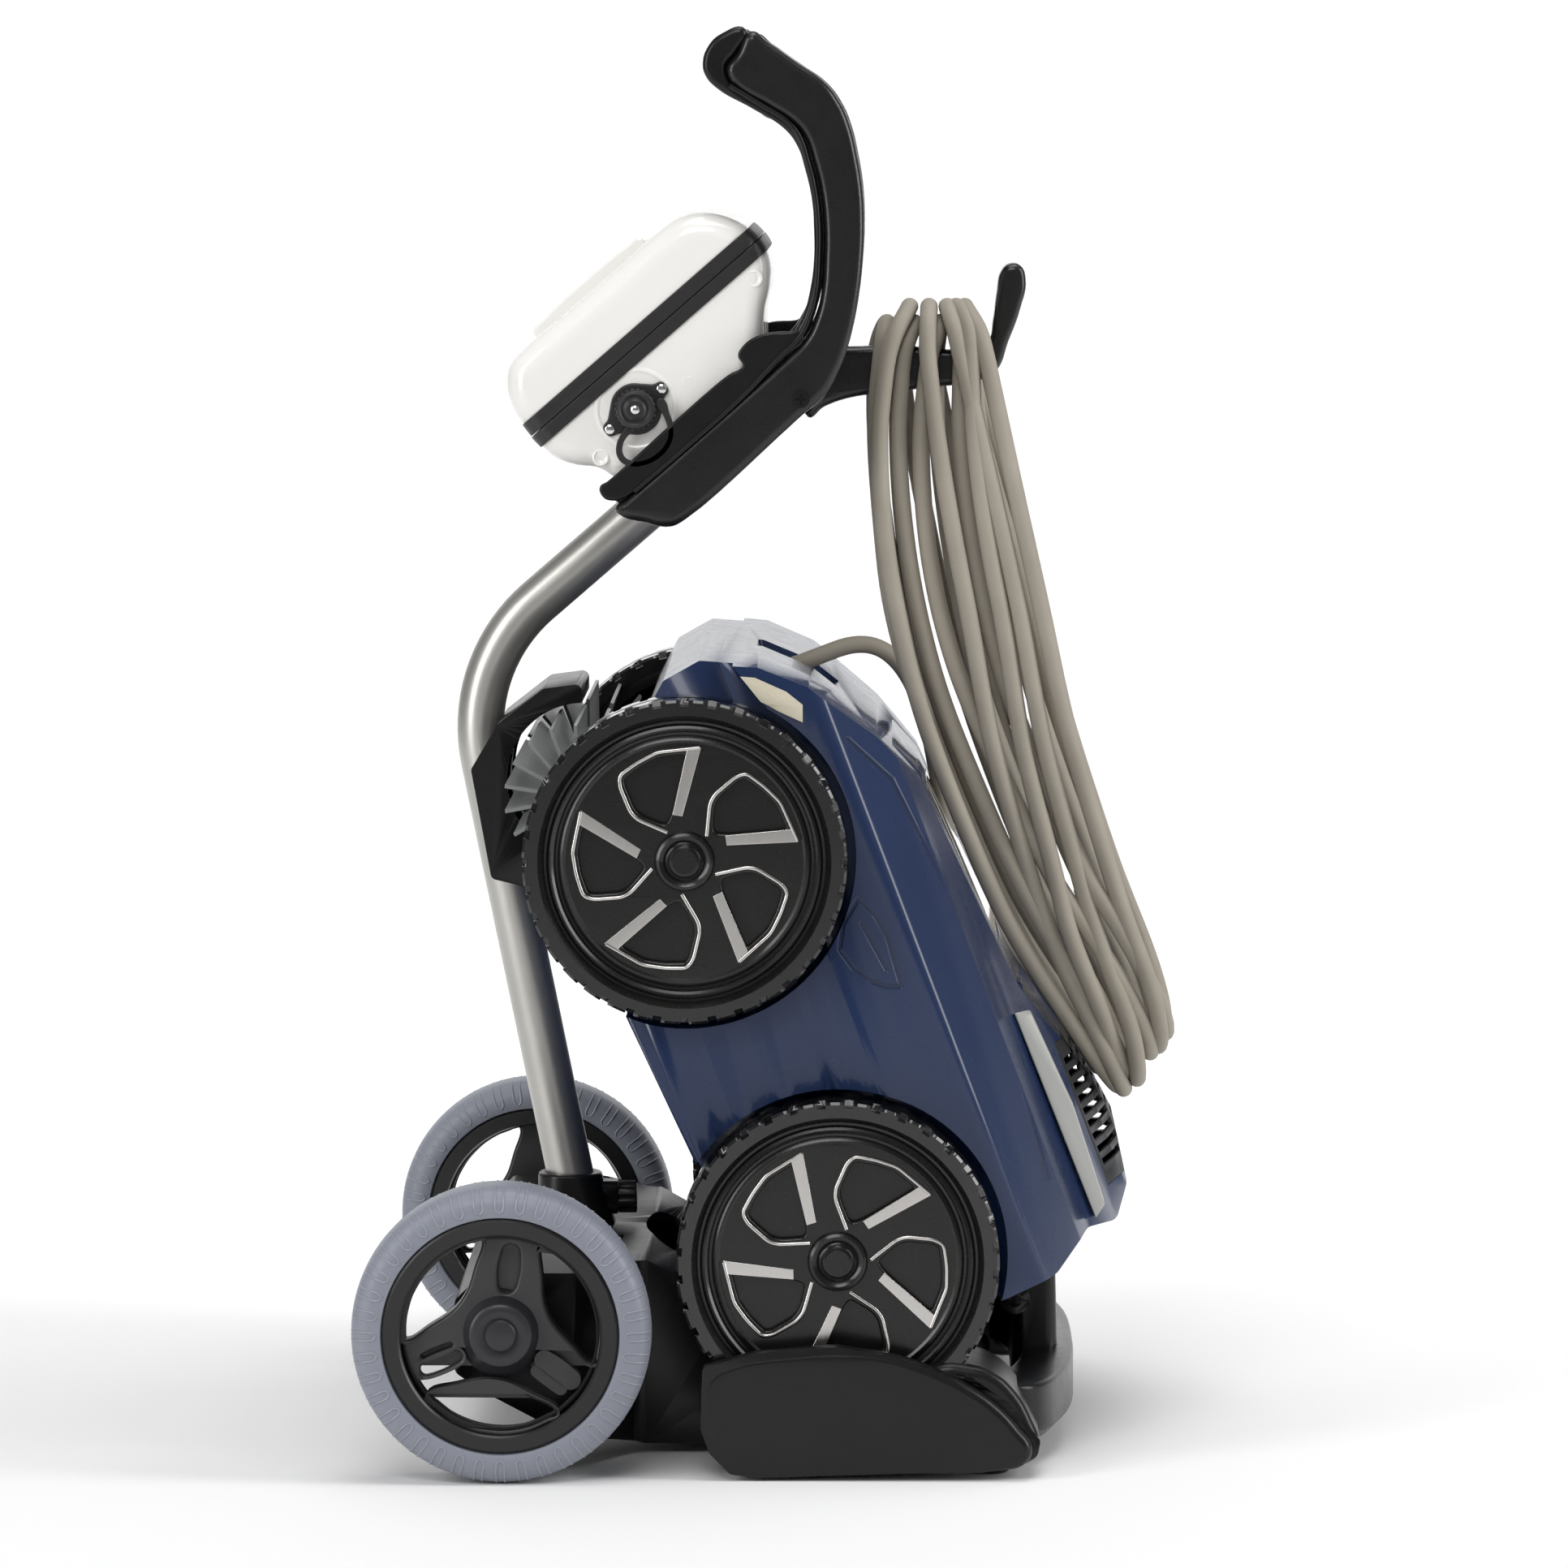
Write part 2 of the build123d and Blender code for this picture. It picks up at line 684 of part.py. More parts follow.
def hull(inset):
    """The whole housing as a solid, pulled in by inset (out when negative)."""
    with BuildPart() as body:
        with BuildSketch(robot_side()):
            with BuildLine():
                Polyline(*hull_outline, close=True)
            make_face()
            fillet(vertices(), 4)
            if inset:
                offset(amount=-inset)
        extrude(amount=robot_half_width + 10, both=True)
        with BuildSketch(robot_front(-200)):
            with BuildLine():
                Polyline(*[(y, z) for y, z in hull_section], close=True)
            make_face()
            fillet(vertices(), 8)
            if inset:
                offset(amount=-inset)
        extrude(amount=440, mode=Mode.INTERSECT)
        for x in (-wheelbase / 2, wheelbase / 2):
            for way in (-1, 1):
                flat_in = way * (arch_inner - inset)
                with BuildSketch(robot_side(flat_in)):
                    with Locations((x, robot_wheel_radius)):
                        Circle(arch_radius + inset)
                extrude(amount=way * 60, mode=Mode.SUBTRACT)
        for way in (-1, 1):
            with BuildSketch(robot_side(way * (arch_inner - inset))):
                with BuildLine():
                    Polyline((-200, -20), (-123.5 + inset, -20), (-123.5 + inset, 93),
                             (-123.5 + inset, 93 + arch_radius + inset - 2), (-200, 120), close=True)
                make_face()
                with BuildLine():
                    Polyline((240, -20), (123.5 - inset, -20), (123.5 - inset, 93),
                             (123.5 - inset, 93 + arch_radius + inset - 2), (240, 150), close=True)
                make_face()
            extrude(amount=way * 60, mode=Mode.SUBTRACT)
        with BuildSketch(robot_plan(notch[2] - inset)):
            with Locations((notch[0] - inset + 40, 0)):
                Rectangle(80, 2 * (notch[1] + inset))
        extrude(amount=120, mode=Mode.SUBTRACT)
    return body.part


def region(x0, x1, y0, y1, z0, z1):
    """A block of the cleaner's frame; y is given as world Y."""
    with BuildPart() as block:
        with BuildSketch(robot_plan(z0)):
            with Locations(((x0 + x1) / 2, -(y0 + y1) / 2)):
                Rectangle(x1 - x0, y1 - y0)
        extrude(amount=z1 - z0)
    return block.part


lid_area = (-30.0, 134.0, -96.0, 96.0, 205.0, 300.0)
window_area = (2.0, 100.0, -62.0, 62.0, 205.0, 300.0)
grille_area = (-156.0, -66.0, -84.0, 84.0, 235.0, 300.0)
badge_area = (168.0, 213.0, -206.0, -180.0, 152.0, 194.0)
badge_proud = 1.5
strip_area = (-166.0, -36.0, -128.0, -106.0, 215.0, 300.0)


def grown(area, by):
    return (area[0] - by, area[1] + by, area[2] - by, area[3] + by, area[4] - by, area[5])


def skin(outer, inner, area):
    """The part of a shell between two hulls that lies inside an area."""
    with BuildPart() as patch:
        add(outer)
        add(region(*area), mode=Mode.INTERSECT)
        add(inner, mode=Mode.SUBTRACT)
    return patch.part


def make_upper_shell(outer, inner):
    with BuildPart() as shell:
        add(outer)
        add(inner, mode=Mode.SUBTRACT)
        split(bisect_by=robot_plan(hull_split), keep=Keep.TOP)
        for area in (lid_area, grille_area):
            add(region(*grown(area, part_gap / 2)), mode=Mode.SUBTRACT)
        with BuildSketch(robot_plan(150)):
            with Locations((swivel_at[0], 0)):
                Circle(swivel_radius - 3 + running_gap)
        extrude(amount=30, mode=Mode.SUBTRACT)
    return shell.part


swivel_at = (192.0, notch[2])
swivel_radius = 11.0
stub_radius = 7.0
gearbox_half_width = 12.0


def make_lower_shell(outer, inner):
    with BuildPart() as shell:
        add(outer)
        add(inner, mode=Mode.SUBTRACT)
        split(bisect_by=robot_plan(hull_split), keep=Keep.BOTTOM)
        with BuildSketch(robot_side(-gearbox_half_width)):
            with BuildLine():
                Polyline((126, 40), (120, 90), (150, 94), (176, 94), (186, 80), (190, 45),
                         (176, 31), (150, 36), close=True)
            make_face()
            fillet(vertices(), 3)
        extrude(amount=2 * gearbox_half_width)
        with BuildSketch(robot_side(-30)):
            with Locations(brush_at):
                Circle(4)
        extrude(amount=60)
        for x in (-wheelbase / 2, wheelbase / 2):
            for y in (-arch_inner, arch_inner):
                with BuildSketch(robot_side(y - 12 if y > 0 else y)):
                    with Locations((x, robot_wheel_radius)):
                        Circle(14)
                extrude(amount=12)
                with BuildSketch(robot_side(y - 14 if y > 0 else y - 1)):
                    with Locations((x, robot_wheel_radius)):
                        Circle(stub_radius)
                extrude(amount=15, mode=Mode.SUBTRACT)
        with BuildSketch(robot_plan(0)):
            with Locations((-105, 0)):
                SlotOverall(60, 24, rotation=90)
        extrude(amount=60, mode=Mode.SUBTRACT)
    return shell.part


def make_stubs():
    """The four short axles the cleaner's wheels turn on."""
    with BuildPart() as stubs:
        for x in (-wheelbase / 2, wheelbase / 2):
            for y in (-robot_half_track - 19, arch_inner - 12):
                with BuildSketch(robot_side(y)):
                    with Locations((x, robot_wheel_radius)):
                        Circle(stub_radius)
                extrude(amount=robot_half_track + 19 - arch_inner + 12)
    return stubs.part


def make_grille(outer, inner):
    with BuildPart() as grille:
        add(skin(outer, inner, grille_area))
        with BuildSketch(robot_plan(225)):
            for y in (-56, 0, 56):
                with Locations((-111, y)):
                    with GridLocations(8, 0, 9, 1):
                        Rectangle(4, 46)
        extrude(amount=60, mode=Mode.SUBTRACT)
    return grille.part


def make_badge(outer):
    """Plate on the near shoulder, just clear of the front wheel's arch."""
    with BuildPart() as badge:
        add(skin(hull(-badge_proud), outer, badge_area))
        with BuildSketch(robot_side(-arch_inner + 10)):
            with Locations((wheelbase / 2, robot_wheel_radius)):
                Circle(arch_radius + 2)
        extrude(amount=-60, mode=Mode.SUBTRACT)
    return badge.part


def make_lid(outer, inner):
    with BuildPart() as lid:
        add(skin(outer, inner, lid_area))
        add(region(*grown(window_area, part_gap / 2)), mode=Mode.SUBTRACT)
    return lid.part


def make_strip():
    """The raised grey bar beside the grille, on the near side."""
    with BuildPart() as strip:
        with BuildSketch(robot_side(-126)):
            with BuildLine():
                Polyline((-36, 236), (-40, 245), (-100, 249), (-160, 246), (-166, 238), close=True)
            make_face()
        extrude(amount=20)
        fillet(strip.edges().filter_by(GeomType.LINE).group_by(SortBy.LENGTH)[-1], 1.2)
    return strip.part



def make_swivel():
    with BuildPart() as swivel:
        with BuildSketch(robot_plan(swivel_at[1])):
            with Locations((swivel_at[0], 0)):
                Circle(swivel_radius)
        extrude(amount=8)
        fillet(swivel.edges().filter_by(GeomType.CIRCLE).sort_by(Axis((0, 0, 0),
               (pitch_sin, 0, -pitch_cos)))[-1], 2)
        with BuildSketch(robot_plan(swivel_at[1] - 8)):
            with Locations((swivel_at[0], 0)):
                Circle(swivel_radius - 3)
        extrude(amount=8.5)
    return swivel.part


motor_at = (-111.0, 0.0)


def make_motor(inner):
    with BuildPart() as motor:
        with BuildSketch(robot_plan(62)):
            with Locations(motor_at):
                Circle(36)
        extrude(amount=110)
        fillet(motor.edges().filter_by(GeomType.CIRCLE), 5)
        with BuildSketch(robot_plan(172)):
            with Locations(motor_at):
                Circle(12)
        extrude(amount=8)
        with BuildSketch(robot_plan(180)):
            with Locations(motor_at):
                Circle(4)
        extrude(amount=42)
        with BuildSketch(robot_plan(47)):
            with Locations(motor_at):
                with PolarLocations(25, 3):
                    Circle(5)
        extrude(amount=20)
        add(inner, mode=Mode.INTERSECT)
    return motor.part


def make_impeller():
    with BuildSketch() as blade:
        with BuildLine():
            ThreePointArc((9, 2), (22, 8), (34, 5))
            Line((34, 5), (34, 2))
            ThreePointArc((34, 2), (22, 5), (9, -1))
            Line((9, -1), (9, 2))
        make_face()
    with BuildPart() as impeller:
        with BuildSketch(robot_plan(186)):
            with Locations(motor_at):
                Circle(12)
        extrude(amount=30)
        with BuildSketch(robot_plan(190)):
            with Locations(motor_at):
                with PolarLocations(0, 5):
                    add(blade.sketch)
        extrude(amount=22)
        with BuildSketch(robot_plan(180)):
            with Locations(motor_at):
                Circle(4 + running_gap)
        extrude(amount=60, mode=Mode.SUBTRACT)
    return impeller.part


# ------------------------------------------------------------------ cleaner wheels and brushes
def robot_wheel_plane(x, out):
    """On a near wheel: outward is -Y; out is measured from the wheel's middle."""
    return Plane(origin=robot_point(x, robot_wheel_radius, -robot_half_track - out),
                 x_dir=(1, 0, 0), z_dir=(0, -1, 0))


window_points = [(2.0, 63.0), (-15.5, 61.0), (-26.0, 55.5), (-35.5, 48.0), (-35.5, 43.5), (-29.5, 28.5),
                 (-25.0, 24.5), (-12.0, 18.0), (-6.0, 27.0)]


def make_robot_disc(x, turn):
    half = robot_wheel_width / 2
    rim = robot_wheel_radius - 9
    with BuildSketch() as window:
        with BuildLine():
            Polyline(*window_points, close=True)
        make_face()
        fillet(window.vertices(), 1.5)
    with BuildPart() as disc:
        add(turned([(0, -6), (rim - 6, -6), (rim - 4, -half + 2), (rim, -half + 2), (rim, half - 3),
                    (rim - 3, half - 1), (rim - 6, half - 1), (rim - 9, half - 4),
                    (rim - 14, half - 5), (20, half - 5), (16, half - 1), (0, half - 1)],
                   robot_wheel_plane(x, 0)))
        with BuildSketch(robot_wheel_plane(x, half - 5)):
            with PolarLocations(0, 5, start_angle=turn):
                add(window.sketch)
        extrude(amount=-4, mode=Mode.SUBTRACT)
        with BuildSketch(robot_wheel_plane(x, -half + 2)):
            Circle(stub_radius + 6)
        extrude(amount=half - 6)
        with BuildSketch(robot_wheel_plane(x, -half - 1)):
            Circle(stub_radius + running_gap)
        extrude(amount=half + 20, mode=Mode.SUBTRACT)
    return disc.part


def make_robot_tread(x, turn):
    half = robot_wheel_width / 2
    rim = robot_wheel_radius - 9
    with BuildPart() as tread:
        with BuildSketch(robot_wheel_plane(x, -half)):
            Circle(robot_wheel_radius)
            Circle(rim, mode=Mode.SUBTRACT)
        extrude(amount=robot_wheel_width)
        chamfer(tread.edges().filter_by(GeomType.CIRCLE).group_by(SortBy.RADIUS)[-1], 1.5)
        for back, way in ((-half - 0.5, 1), (half + 0.5, -1)):
            with BuildSketch(robot_wheel_plane(x, back)):
                with PolarLocations(robot_wheel_radius, 36, start_angle=turn + (5 if way > 0 else 0)):
                    Rectangle(7, 5)
            extrude(amount=way * 12, mode=Mode.SUBTRACT)
        with BuildSketch(robot_wheel_plane(x, -3)):
            Circle(robot_wheel_radius + 1)
            Circle(robot_wheel_radius - 3, mode=Mode.SUBTRACT)
        extrude(amount=6, mode=Mode.SUBTRACT)
    return tread.part


def make_brush_core():
    with BuildPart() as core:
        with BuildSketch(robot_side(-brush_inner)):
            with Locations(brush_at):
                Circle(brush_core_radius)
        extrude(amount=-(brush_outer - brush_inner))
        chamfer(core.edges(), 1)
        with BuildSketch(robot_side(-brush_inner + 1)):
            with Locations(brush_at):
                Circle(4 + running_gap)
        extrude(amount=-18, mode=Mode.SUBTRACT)
    return core.part


def make_brush_fins():
    length = brush_outer - brush_inner - 8
    with BuildPart() as fins:
        with BuildSketch(robot_side(-brush_inner - 4)):
            with Locations(brush_at):
                Circle(brush_core_radius + 2.5)
                with PolarLocations(brush_radius / 2 + 8, 18):
                    Rectangle(brush_radius - 16 + 0.0, 2)
                Circle(brush_core_radius, mode=Mode.SUBTRACT)
        extrude(amount=-length)
    return fins.part


# ------------------------------------------------------------------ control box
seal_low, seal_high = -4.6, 12.4
box_outline = [
    (-84, -5), (-83, -14), (-77, -25), (-66, -37), (-63, -48), (-54, -55), (42, -55),
    (54, -43), (66, -30), (79, -20), (90, -7), (91, 6), (88, 20), (80, 32), (68, 42),
    (58, 45), (-60, 45), (-74, 39), (-84, 18),
]
box_lift = 130.0
socket_at = (-27.9, -24.0)


def box_form(inset):
    with BuildPart() as form:
        with BuildSketch(box_side()):
            with BuildLine():
                Polyline(*box_outline, close=True)
            make_face()
            fillet(vertices(), 4)
            if inset:
                offset(amount=-inset)
        extrude(amount=box_half_width + 5, both=True)
        with BuildSketch(Plane(origin=box_point(-100, 0), x_dir=(0, 1, 0), z_dir=(box_cos, 0, box_sin))):
            with BuildLine():
                half = [(0, -5), (0, 14), (6, 36), (20, 46)]
                low = [(19, -57), (9, -49), (3, -36)]
                Polyline(*[(inset_by - box_half_width, out) for inset_by, out in half],
                         *[(box_half_width - inset_by, out) for inset_by, out in half[::-1]],
                         *[(box_half_width - inset_by, out) for inset_by, out in low[::-1]],
                         *[(inset_by - box_half_width, out) for inset_by, out in low], close=True)
            make_face()
            fillet(vertices(), 5)
            if inset:
                offset(amount=-inset)
        extrude(amount=220, mode=Mode.INTERSECT)
    return form.part


def make_box_top(outer, inner):
    with BuildPart() as top:
        add(outer)
        add(inner, mode=Mode.SUBTRACT)
        split(bisect_by=box_plan(seal_high), keep=Keep.TOP)
        with BuildSketch(box_plan(30)):
            with Locations((-4, 0)):
                RectangleRounded(86, 120, 8)
        extrude(amount=30, mode=Mode.SUBTRACT)
    return top.part


def make_box_bottom(outer, inner):
    with BuildPart() as bottom:
        add(outer)
        add(inner, mode=Mode.SUBTRACT)
        split(bisect_by=box_plan(seal_low), keep=Keep.BOTTOM)
        with BuildSketch(box_side(-box_half_width + 14)):
            with Locations(socket_at):
                Circle(9)
        extrude(amount=30, mode=Mode.SUBTRACT)
        with BuildSketch(box_side(-socket_face)):
            with Locations(socket_at):
                Circle(24)
        extrude(amount=30, mode=Mode.SUBTRACT)
    return bottom.part


def make_seal_band(outer, inner):
    with BuildPart() as band:
        add(box_form(-1.2))
        add(box_form(wall + 2), mode=Mode.SUBTRACT)
        split(bisect_by=box_plan(seal_high), keep=Keep.BOTTOM)
        split(bisect_by=box_plan(seal_low), keep=Keep.TOP)
    return band.part


panel_top = 45.0
button_rows = [(-28.0, 11.0), (-4.0, 11.0), (20.0, 11.0)]
button_travel = 1.5


def make_panel():
    with BuildPart() as panel:
        with BuildSketch(box_plan(panel_top - wall)):
            with Locations((-4, 0)):
                RectangleRounded(86 - 0.2, 120 - 0.2, 7.9)
        extrude(amount=wall + 2)
        fillet(panel.faces().sort_by(Axis((0, 0, 0), (-box_sin, 0, box_cos)))[-1].edges(), 1)
        with BuildSketch(box_plan(panel_top - wall - 1)):
            with Locations(*[(along, 0) for along, r in button_rows]):
                Circle(button_rows[0][1] / 1.4 + part_gap)
        extrude(amount=10, mode=Mode.SUBTRACT)
        with BuildSketch(box_plan(panel_top - wall)):
            with Locations(*[(along, 0) for along, r in button_rows]):
                Circle(11)
                Circle(5, mode=Mode.SUBTRACT)
        extrude(amount=-1.5)
    return panel.part


def make_button(along):
    with BuildPart() as button:
        with BuildSketch(box_plan(panel_top - wall + button_travel + 0.3)):
            with Locations((along, 0)):
                Circle(button_rows[0][1] / 1.4)
        extrude(amount=wall + 2 + 0.9 - button_travel + 0.6)
        fillet(button.faces().sort_by(Axis((0, 0, 0), (-box_sin, 0, box_cos)))[-1].edges(), 0.8)
    return button.part


socket_face = box_half_width - 2.0


def make_socket():
    """Flanged cable socket on the near wall of the box, with its two screw ears."""
    with BuildPart() as socket:
        with BuildSketch(box_side(-socket_face)):
            with Locations(socket_at):
                Circle(15)
                with PolarLocations(17, 2, start_angle=10):
                    Circle(5)
        extrude(amount=4)
        with BuildSketch(box_side(-socket_face)):
            with Locations(socket_at):
                Circle(9 - running_gap)
        extrude(amount=-16)
        with BuildSketch(box_side(-socket_face - 4)):
            with Locations(socket_at):
                Circle(9)
                Circle(6, mode=Mode.SUBTRACT)
        extrude(amount=5)
    return socket.part


def make_socket_screws():
    with BuildPart() as screws:
        with BuildSketch(box_side(-socket_face - 4)):
            with Locations(socket_at):
                with PolarLocations(17, 2, start_angle=10):
                    Circle(3)
        extrude(amount=1.6)
    return screws.part


cap_face = socket_face + 4 + part_gap


def make_socket_cap():
    with BuildPart() as cap:
        with BuildSketch(box_side(-cap_face)):
            with Locations(socket_at):
                Circle(12)
                with PolarLocations(12.6, 20):
                    Circle(1.1, mode=Mode.SUBTRACT)
        extrude(amount=9)
        fillet(cap.faces().sort_by(Axis.Y)[0].edges(), 0.5)
        with BuildSketch(box_side(-cap_face)):
            with Locations(socket_at):
                Circle(9 + part_gap)
        extrude(amount=6, mode=Mode.SUBTRACT)
        with BuildSketch(box_side(-cap_face - 9)):
            with Locations(socket_at):
                Circle(3)
        extrude(amount=1)
    return cap.part


def make_cap_strap():
    """Rubber loop from the flange's ear, hanging below the cap."""
    y = -socket_face - 4 - 1.6 - 2
    ear = box_point(socket_at[0] + 20, socket_at[1] + 3.5)
    with BuildPart() as strap:
        with BuildLine(side(y)) as path:
            Spline((ear[0] + 2, ear[2] - 1), (ear[0] + 11, ear[2] - 18), (ear[0] + 6, ear[2] - 32),
                   (ear[0] - 12, ear[2] - 40), (ear[0] - 25, ear[2] - 33), (ear[0] - 26, ear[2] - 24))
        way = path.wires()[0] % 0
        with BuildSketch(Plane(origin=path.wires()[0] @ 0, x_dir=(0, 1, 0), z_dir=way)):
            Rectangle(4, 2)
        sweep(path=path.wires()[0])
    return strap.part


# ------------------------------------------------------------------ cable
coil_side = [
    (74, 652), (66.5, 640), (65.6, 578), (70, 540), (78, 492), (92, 424), (108, 380), (126, 337),
    (146, 293), (165, 264), (183, 239), (202, 212), (216, 196), (236, 188), (252, 200), (257, 240),
    (251, 265), (231, 314), (214, 363), (192, 431), (175, 509), (155, 597), (145, 640), (136, 664), (126, 673),
    (90, 673),
]
coil_top = 674.0
coil_bottom = 186.0
coil_half_width = 78.0
coil_stack = 20.0
hang_half_width = 37.0


def coil_front(shrink):
    """The hanging loops seen along X: narrow on the hook, wide at the bottom."""
    low = coil_bottom + coil_half_width
    high = coil_top - hang_half_width
    return [
        (-(hang_half_width - shrink), high), (-(coil_half_width - 14 - shrink), 480),
        (-(coil_half_width - shrink), low + 60), (-(coil_half_width - shrink), low),
    ], [
        (coil_half_width - shrink, low), (coil_half_width - shrink, low + 60),
        (coil_half_width - 14 - shrink, 480), (hang_half_width - shrink, high),
    ]


def make_coil():
    with BuildPart() as coil:
        with BuildSketch(side()):
            with BuildLine():
                Polyline(*coil_side, close=True)
            make_face()
            fillet(vertices(), 3)
        extrude(amount=coil_half_width + 5, both=True)
        with BuildSketch(Plane.YZ.offset(40)):
            for shrink, mode in ((0.0, Mode.ADD), (coil_stack, Mode.SUBTRACT)):
                left, right = coil_front(shrink)
                with BuildLine():
                    Spline(*left)
                    ThreePointArc(left[-1], (0, coil_bottom + shrink), right[0])
                    Spline(*right)
                    ThreePointArc(right[-1], (0, coil_top - shrink), left[0])
                make_face(mode=mode)
        extrude(amount=240, mode=Mode.INTERSECT)
        add(hull(-1), mode=Mode.SUBTRACT)
        add(side_block(hook_outline, hook_half_width, 2), mode=Mode.SUBTRACT)
    return coil.part


lead_start = robot_point(swivel_at[0], swivel_at[1] + 8)
lead_points = [
    lead_start,
    robot_point(swivel_at[0], swivel_at[1] + 26),
    (88.0, 4.0, 458.0),
    (117.0, 62.0, 386.0),
]


def bend_radii(points):
    """Largest easy bend at each corner of a route of straight runs."""
    radii = []
    for a, b, c in zip(points, points[1:], points[2:]):
        ab = [q - p for p, q in zip(a, b)]
        bc = [q - p for p, q in zip(b, c)]
        la, lb = hypot(*ab), hypot(*bc)
        turn = sum(p * q for p, q in zip(ab, bc)) / (la * lb)
        half = tan(0.5 * abs(pi / 2 - asin(max(-1, min(1, turn)))))
        radii.append(0.45 * min(la, lb) / half)
    return radii


def make_lead(coil):
    radii = bend_radii(lead_points)
    print("lead bends", [round(r, 1) for r in radii])
    with BuildPart() as lead:
        with BuildLine() as path:
            FilletPolyline(*lead_points, radius=radii)
        wire = path.wires()[0]
        with BuildSketch(Plane(origin=wire @ 0, z_dir=wire % 0)):
            Circle(cable_radius)
        sweep(path=wire)
        add(coil, mode=Mode.SUBTRACT)
    print("lead volume", round(lead.part.volume), "section x length",
          round(wire.length * pi * cable_radius ** 2))
    return lead.part


plug_top = (196.0, coil_half_width + 2.0, 330.0)


def make_plug(coil):
    """The moulded connector on the free end, hanging against the far side of the loops."""
    with BuildPart() as plug:
        for drop, radius, length in ((0, cable_radius, 23), (22, 8, 27), (48, 11, 26)):
            top = (plug_top[0] + 0.33 * drop, plug_top[1] + 0.1 * drop, plug_top[2] - 0.94 * drop)
            with BuildSketch(Plane(origin=top, x_dir=(0, 1, 0), z_dir=(0.33, 0.1, -0.94))):
                Circle(radius)
            extrude(amount=length)
        add(coil, mode=Mode.SUBTRACT)
    return plug.part


# ------------------------------------------------------------------ all the pieces
def build_caddy():
    piece(make_base_deck(), "base_deck")
    trough = make_trough()
    piece(trough, "wheel_trough_near")
    piece(mirrored(trough), "wheel_trough_far")
    piece(make_feet(), "base_feet")
    piece(make_front_rail(), "front_rail")
    piece(make_axle(), "wheel_axle")
    piece(make_tube(), "frame_tube")
    piece(make_collar(), "tube_collar")
    piece(make_clamp_knob(), "clamp_knob")
    piece(make_saddle(), "robot_saddle")
    for label, made in (("tyre", make_caddy_tyre()), ("rim", make_caddy_rim()),
                        ("cap", make_caddy_cap())):
        piece(made, f"caddy_{label}_near")
        piece(mirrored(made), f"caddy_{label}_far")
    form = handle_form()
    piece(make_cradle_shell(form), "cradle_shell")
    piece(make_cradle_tray(form), "cradle_tray")
    piece(make_hook(form), "cable_hook")
    piece(make_screws(), "frame_screws")


def build_robot():
    outer, inner = hull(0), hull(wall)
    piece(make_lower_shell(outer, inner), "robot_lower_shell")
    piece(make_upper_shell(outer, inner), "robot_upper_shell")
    piece(make_lid(outer, inner), "robot_lid")
    piece(skin(outer, inner, window_area), "lid_window")
    piece(make_grille(outer, inner), "exhaust_grille")
    badge = make_badge(outer)
    piece(badge, "badge_near")
    piece(mirrored(badge), "badge_far")
    with BuildPart() as strip:
        add(make_strip())
        add(outer, mode=Mode.SUBTRACT)
    piece(strip.part, "rear_strip_near")
    piece(mirrored(strip.part), "rear_strip_far")
    piece(make_swivel(), "cable_swivel")
    piece(make_stubs(), "robot_axle_stubs")
    piece(make_motor(inner), "pump_motor")
    piece(make_impeller(), "pump_impeller")
    for end, x, turn in (("front", wheelbase / 2, 0.0), ("rear", -wheelbase / 2, 26.0)):
        disc, tread = make_robot_disc(x, turn), make_robot_tread(x, turn)
        piece(disc, f"{end}_wheel_near")
        piece(mirrored(disc), f"{end}_wheel_far")
        piece(tread, f"{end}_tread_near")
        piece(mirrored(tread), f"{end}_tread_far")
    core, fins = make_brush_core(), make_brush_fins()
    piece(core, "brush_core_near")
    piece(mirrored(core), "brush_core_far")
    piece(fins, "brush_fins_near")
    piece(mirrored(fins), "brush_fins_far")


def build_box():
    outer, inner = box_form(0), box_form(wall)
    piece(make_box_top(outer, inner), "box_top_shell")
    piece(make_box_bottom(outer, inner), "box_bottom_shell")
    piece(make_seal_band(outer, inner), "box_seal_band")
    piece(make_panel(), "box_panel")
    for name, (along, radius) in zip("abc", button_rows):
        piece(make_button(along), f"box_button_{name}")
    piece(make_socket(), "box_socket")
    piece(make_socket_screws(), "socket_screws")
    piece(make_socket_cap(), "socket_cap")
    piece(make_cap_strap(), "cap_strap")


def build_cable():
    coil = make_coil()
    piece(coil, "cable_coil")
    piece(make_lead(coil), "cable_lead")
    piece(make_plug(coil), "cable_plug")


build_caddy()
build_robot()
build_box()
build_cable()

os.makedirs("parts", exist_ok=True)
for part in pieces:
    export_step(part, f"parts/{part.label}.step")
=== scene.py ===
"""Robotic pool cleaner parked nose-up on its two-wheeled caddy: the shown pieces and their finishes."""

import json
from math import asin, cos, pi, radians, sin

import bmesh
import bpy
from mathutils import Matrix, Vector

